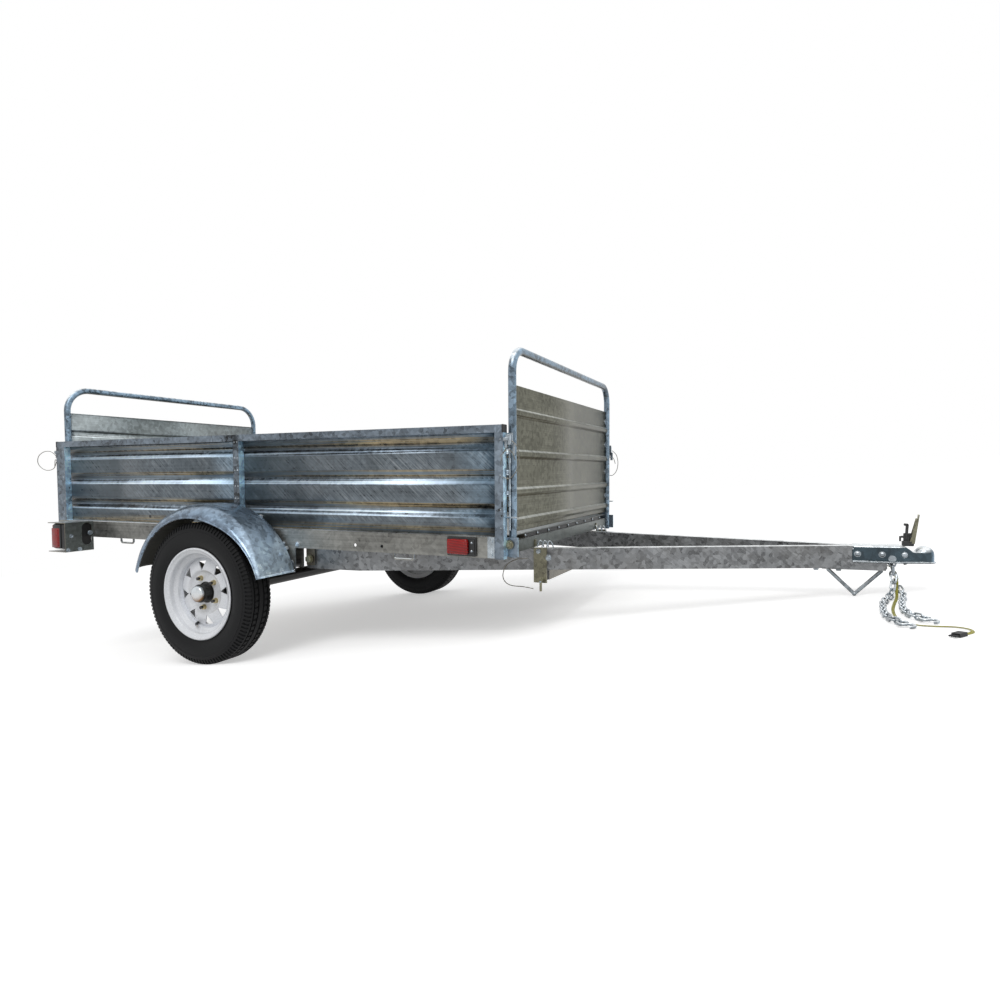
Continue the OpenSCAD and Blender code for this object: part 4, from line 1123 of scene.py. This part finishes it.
tiltPin = {
    "plate": 0.4735, "bolts": ((1.232, 0.410), (1.196, 0.432)), "pin": (1.210, 0.327),
    # x, out from the plate, and height
    "loop": ((1.190, 0.004, 0.417), (1.156, 0.012, 0.414), (1.118, 0.016, 0.394),
             (1.102, 0.018, 0.360), (1.108, 0.016, 0.334), (1.132, 0.014, 0.321),
             (1.172, 0.010, 0.319), (1.210, 0.006, 0.314)),
    "saddles": (1.186, 1.204, 1.222),
    "saddle": ((-0.008, 0.360, 0.442), (-0.006, 0.356, 0.456), (0, 0.352, 0.465),
               (0.008, 0.348, 0.455), (0.012, 0.346, 0.442)),
}


def makeTiltPins(name, side):
    # crimped lanyard of each tilt pin, bolts of its plate, and the wire saddles beside it
    loop = smoothLine([(x, tiltPin["plate"] + gap, z) for x, gap, z in tiltPin["loop"]], 6)
    wirePiece("tilt_pin_lanyard_" + name, [loop], lanyard["radius"], "underZinc", "bed",
              side=side)
    bm = bmesh.new()
    low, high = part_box("tilt_latch_plates")
    out = max(abs(low[1]), abs(high[1])) - 0.0225
    for x, z in tiltPin["bolts"]:
        bolt(bm, (x, out, z), (0, 1, 0), 0.0052)
    x, z = tiltPin["pin"]
    rod(bm, (x, out, z), (x, out + 0.0245, z), 0.0036, 14)
    finishPiece("tilt_plate_bolts_" + name, bm, "brightZinc", "bed", side=side)
    arches = [smoothLine([(middle + x, y, z) for x, y, z in tiltPin["saddle"]], 4)
              for middle in tiltPin["saddles"]]
    wirePiece("wire_saddles_" + name, arches, 0.0022, "brightZinc", "bed", side=side)


# ---- coupler
coupler = {"back": 2.195, "neck": 2.344, "half": 0.042, "high": 0.057, "dome": 0.030,
           "domeHeight": 0.026, "skirt": 0.009, "rim": 0.0035, "wall": 0.003, "voxel": 0.0012,
           "bolts": (2.211, 2.283, 2.346), "chainBolt": -0.094}


def carve(name, bm, cutter, fused=True):
    # cuts one shape out of another; a pressed shell of overlapping solids is fused by voxels first
    meshes = []
    for label, one in ((name, bm), (name + "_core", cutter)):
        bmesh.ops.recalc_face_normals(one, faces=one.faces)
        meshes.append(addObject(label, meshFrom(label, one)))
    shell, core = meshes
    if fused:
        fuse = shell.modifiers.new("fuse", "REMESH")
        fuse.mode = "VOXEL"
        fuse.voxel_size = coupler["voxel"]
        soften = shell.modifiers.new("soften", "SMOOTH")
        soften.factor, soften.iterations = 0.5, 5
    hollow = shell.modifiers.new("hollow", "BOOLEAN")
    hollow.operation = "DIFFERENCE"
    hollow.object = core
    hollow.solver = "EXACT"
    bpy.context.view_layer.update()
    shown = shell.evaluated_get(bpy.context.evaluated_depsgraph_get())
    mesh = bpy.data.meshes.new_from_object(shown)
    for carrier in meshes:
        old = carrier.data
        bpy.data.objects.remove(carrier)
        bpy.data.meshes.remove(old)
    mesh.materials.clear()
    return mesh


def makeCoupler():
    ball, top = tongue["ball"], tongue["top"] + 0.003
    low = top - coupler["high"]
    wide = coupler["half"]
    bm = bmesh.new()
    slab(bm, (coupler["back"], -wide, low), (coupler["neck"], wide, top), 0.009, 4)
    slab(bm, (coupler["back"], -wide, low), (coupler["back"] + 0.05, wide, top - 0.012), 0.001, 1)
    # neck narrows and drops towards the dome
    verts = block(bm, (ball - coupler["neck"] + 0.012, 2 * wide - 0.004, coupler["high"] - 0.004),
                  ((ball + coupler["neck"]) / 2 - 0.004, 0, (low + top) / 2 - 0.002))
    bmesh.ops.subdivide_edges(bm, edges=edgesOf(verts), cuts=7, use_grid_fill=True)
    for vert in bm.verts:
        if vert.co.x > coupler["neck"] + 0.005 and abs(vert.co.y) <= wide:
            share = min(1.0, (vert.co.x - coupler["neck"]) / (ball - coupler["neck"]))
            vert.co.y *= 1 - 0.36 * share ** 0.7
            dip = min(1.0, max(0.0, (share - 0.12) / 0.4))
            lift = max(0.0, (vert.co.z - low - 0.015) / (coupler["high"] - 0.015))
            vert.co.z -= 0.019 * dip * dip * (3 - 2 * dip) * lift
    rod(bm, (ball, 0, low), (ball, 0, low + coupler["domeHeight"]), coupler["dome"], 48)
    verts = bmesh.ops.create_uvsphere(bm, u_segments=48, v_segments=24,
                                      radius=coupler["dome"])["verts"]
    bmesh.ops.translate(bm, verts=verts, vec=(ball, 0, low + coupler["domeHeight"]))
    # turned-out skirt
    flare, edge = wide + coupler["skirt"], coupler["rim"]
    slab(bm, (coupler["back"], -flare, low), (coupler["neck"], flare, low + edge), 0.001, 1)
    rod(bm, (ball, 0, low), (ball, 0, low + edge), coupler["dome"] + 0.005, 48)
    verts = block(bm, (ball - coupler["neck"], 2 * flare, edge),
                  ((ball + coupler["neck"]) / 2, 0, low + edge / 2))
    for vert in verts:
        if vert.co.x > ball - 0.001:
            vert.co.y *= (coupler["dome"] + 0.005) / flare
    core = bmesh.new()
    slab(core, (coupler["back"] - 0.01, -wide + coupler["wall"], low - 0.01),
         (coupler["neck"] - 0.010, wide - coupler["wall"], top - coupler["wall"]))
    rod(core, (ball, 0, low - 0.01), (ball, 0, low + coupler["domeHeight"] + 0.012), 0.0255, 40)
    mesh = carve("coupler_shell", bm, core)
    mesh.transform(tongueFrame)
    piece = finishMesh("coupler_shell", mesh, "couplerZinc", "tongue", 50)
    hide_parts("coupler")
    # dome bolts on both sides, the cross bolt for the chains and the clamp nut below
    bm = bmesh.new()
    chainBolt = tongue["ball"] + coupler["chainBolt"]
    for side in (-1, 1):
        for x in coupler["bolts"]:
            y = wide if x < 2.32 else wide - 0.004
            rod(bm, (x, side * y, low + 0.028), (x, side * (y + 0.0015), low + 0.028), 0.0105, 24)
            dome(bm, (x, side * (y + 0.001), low + 0.028), (0, side, 0), 0.0085, 0.0055)
    rod(bm, (chainBolt, -wide - 0.004, low + 0.014), (chainBolt, wide + 0.004, low + 0.014), 0.005,
        softEnd=0.001)
    for side in (-1, 1):
        bolt(bm, (chainBolt, side * wide, low + 0.014), (0, side, 0), 0.0052)
    finishPiece("coupler_bolts", bm, "brightZinc", "tongue", tongueFrame)
    bm = bmesh.new()
    bolt(bm, (ball - 0.056, 0, low + 0.006), (0.35, 0, -1), 0.0058, thread=0.007)
    slab(bm, (ball - 0.064, -0.014, low - 0.004), (ball - 0.036, 0.014, low + 0.002), 0.0018, 2)
    finishPiece("coupler_clamp_nut", bm, "blackPaint", "tongue", tongueFrame)


def makeLever():
    # folded lever leaning forward, the black trigger behind it and their pivot block
    top = tongue["top"] + 0.003
    pivot = tongue["ball"] - 0.034
    lean = Matrix.Translation((pivot + 0.002, 0, top + 0.008)) @ Matrix.Rotation(radians(8), 4, "Y")
    bm = bmesh.new()
    verts = block(bm, (0.003, 0.026, 0.098), (0.0045, 0, 0.047))
    for side in (-1, 1):
        cheek = block(bm, (0.016, 0.0025, 0.084), (-0.002, side * 0.0118, 0.040))
        for vert in cheek:
            if vert.co.z > 0.05 and vert.co.x < 0:
                vert.co.x += 0.009
        verts += cheek
    roundOff(bm, edgesOf(verts), 0.0009, 2)
    bmesh.ops.transform(bm, verts=bm.verts, matrix=lean)
    piece = finishPiece("coupler_lever_arm", bm, "yellowZinc", "tongue", tongueFrame)
    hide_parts("coupler_lever")
    bm = bmesh.new()
    slab(bm, (pivot - 0.028, -0.011, top - 0.003), (pivot + 0.006, 0.011, top + 0.014), 0.003, 3)
    slab(bm, (pivot - 0.024, -0.005, top + 0.010), (pivot + 0.004, 0.005, top + 0.040), 0.003, 3)
    blade = Matrix.Translation((pivot - 0.016, 0, top + 0.018)) @ Matrix.Rotation(radians(4), 4, "Y")
    first = len(bm.verts)
    slab(bm, (-0.004, -0.007, 0), (0.004, 0.007, 0.052), 0.002, 2)
    slab(bm, (-0.010, -0.007, 0.046), (0.003, 0.007, 0.054), 0.002, 2)
    bm.verts.ensure_lookup_table()
    bmesh.ops.transform(bm, verts=bm.verts[first:], matrix=blade)
    slab(bm, (pivot - 0.032, -0.004, top + 0.024), (pivot - 0.014, 0.004, top + 0.031), 0.002, 2)
    slab(bm, (pivot - 0.036, -0.004, top + 0.012), (pivot - 0.030, 0.004, top + 0.030), 0.002, 2)
    for z in (top + 0.010, top + 0.030):
        rod(bm, (pivot - 0.004, -0.0145, z), (pivot - 0.004, 0.0145, z), 0.0034, 16, softEnd=0.0006)
    finishPiece("coupler_trigger", bm, "blackPaint", "tongue", tongueFrame)


tongueTrim = {"pivotOut": 0.5955, "pivotIn": 0.5300, "capStart": 0.3681, "cap": 0.0155,
              "nose": (2.085, 2.155)}


def makeTongueTrim():
    # pivot bolts, end caps of the cross tube and nose bolts
    bm = bmesh.new()
    for side in (-1, 1):
        for y, way in ((tongueTrim["pivotOut"], side), (tongueTrim["pivotIn"], -side)):
            bolt(bm, (tongue["pivot"], side * y, tongue["pivotHeight"]), (0, way, 0), 0.0075)
    finishPiece("tilt_pivot_bolts", bm, "yellowZinc", "bed")
    bm = bmesh.new()
    start, end = tongueTrim["capStart"], tongueTrim["capStart"] + tongueTrim["cap"]
    for side in (-1, 1):
        slab(bm, (1.195, side * start, tongue["low"] - 0.0330),
             (1.225, side * end, tongue["low"] - 0.0030), 0.002)
    finishPiece("cross_tube_caps", bm, "blackPlastic", "tongue", tongueFrame)
    bm = bmesh.new()
    for x in tongueTrim["nose"]:
        for y in (-0.020, 0.020):
            bolt(bm, (x, y, tongue["low"] - 0.005), (0, 0, -1), 0.005)
    finishPiece("nose_plate_bolts", bm, "brightZinc", "tongue", tongueFrame)


for sideName, sideSign in sides.items():
    makeWallSheets(sideName, sideSign)
    makeWallTrim(sideName, sideSign)
    makeFender(sideName, sideSign)
    makeTyre(sideName, sideSign)
    makeRim(sideName, sideSign)
    makeHub(sideName, sideSign)
    makeLights(sideName, sideSign)
    makeBedBolts(sideName, sideSign)
    makeTiltPins(sideName, sideSign)
    for gateEnd in ("front", "rear"):
        makeGateLatch(gateEnd, sideName, sideSign)
    print("side done:", sideName)
for gateEnd, forwardSign in (("front", 1), ("rear", -1)):
    makeGateHoop(gateEnd)
    makeGateSheet(gateEnd, forwardSign)
    makeGateTrim(gateEnd, forwardSign)
makeDeckEnds()
makeCoupler()
makeLever()
makeTongueTrim()
print("bed, gates and tongue done")


# ---- studio
studio = {"sky": 0.62, "lampPower": 150, "lampSize": (4.0, 3.0), "lampPlace": (1.5, -4.5, 5.5),
          "floorSize": 30, "floorLit": 0.45, "floorSeen": 0.93, "floorGlow": 0.45}


def seenDirectly(tree):
    # 1 for camera, glossy and transmission rays, 0 for the rays that only carry light
    path = put(tree, "LightPath").outputs
    seen = calc(tree, "MAXIMUM", path["Is Camera Ray"], path["Is Glossy Ray"])
    return calc(tree, "MAXIMUM", seen, path["Is Transmission Ray"])


def makeStudio():
    world = bpy.data.worlds.new("studio")
    scene.world = world
    world.use_nodes = True
    tree = world.node_tree
    background = tree.nodes["Background"]
    background.inputs["Color"].default_value = (1, 1, 1, 1)
    tree.links.new(spread(tree, seenDirectly(tree), 0, 1, studio["sky"], 1.0),
                   background.inputs["Strength"])
    bm = bmesh.new()
    bmesh.ops.create_grid(bm, x_segments=2, y_segments=2, size=studio["floorSize"])
    floor = addObject("floor", meshFrom("floor", bm))
    paint, tree, shader = newMaterial("floorPaint", Roughness=1.0, Specular_IOR_Level=0.0)
    seen = seenDirectly(tree)
    lit, shown = [(value, value, value, 1) for value in (studio["floorLit"], studio["floorSeen"])]
    tree.links.new(mixColor(tree, seen, lit, shown), shader.inputs["Base Color"])
    glow = put(tree, "Emission", {
        "Color": (1, 1, 1, 1), "Strength": calc(tree, "MULTIPLY", seen, studio["floorGlow"])})
    both = put(tree, "AddShader")
    tree.links.new(shader.outputs["BSDF"], both.inputs[0])
    tree.links.new(glow.outputs["Emission"], both.inputs[1])
    tree.links.new(both.outputs["Shader"], tree.nodes["Material Output"].inputs["Surface"])
    floor.data.materials.append(paint)
    lampData = bpy.data.lights.new("softLamp", "AREA")
    lampData.shape = "RECTANGLE"
    lampData.size, lampData.size_y = studio["lampSize"]
    lampData.energy = studio["lampPower"]
    lamp = addObject("softLamp", lampData)
    lamp.location = studio["lampPlace"]
    lamp.rotation_euler = (-lamp.location).to_track_quat("-Z", "Y").to_euler()


makeStudio()
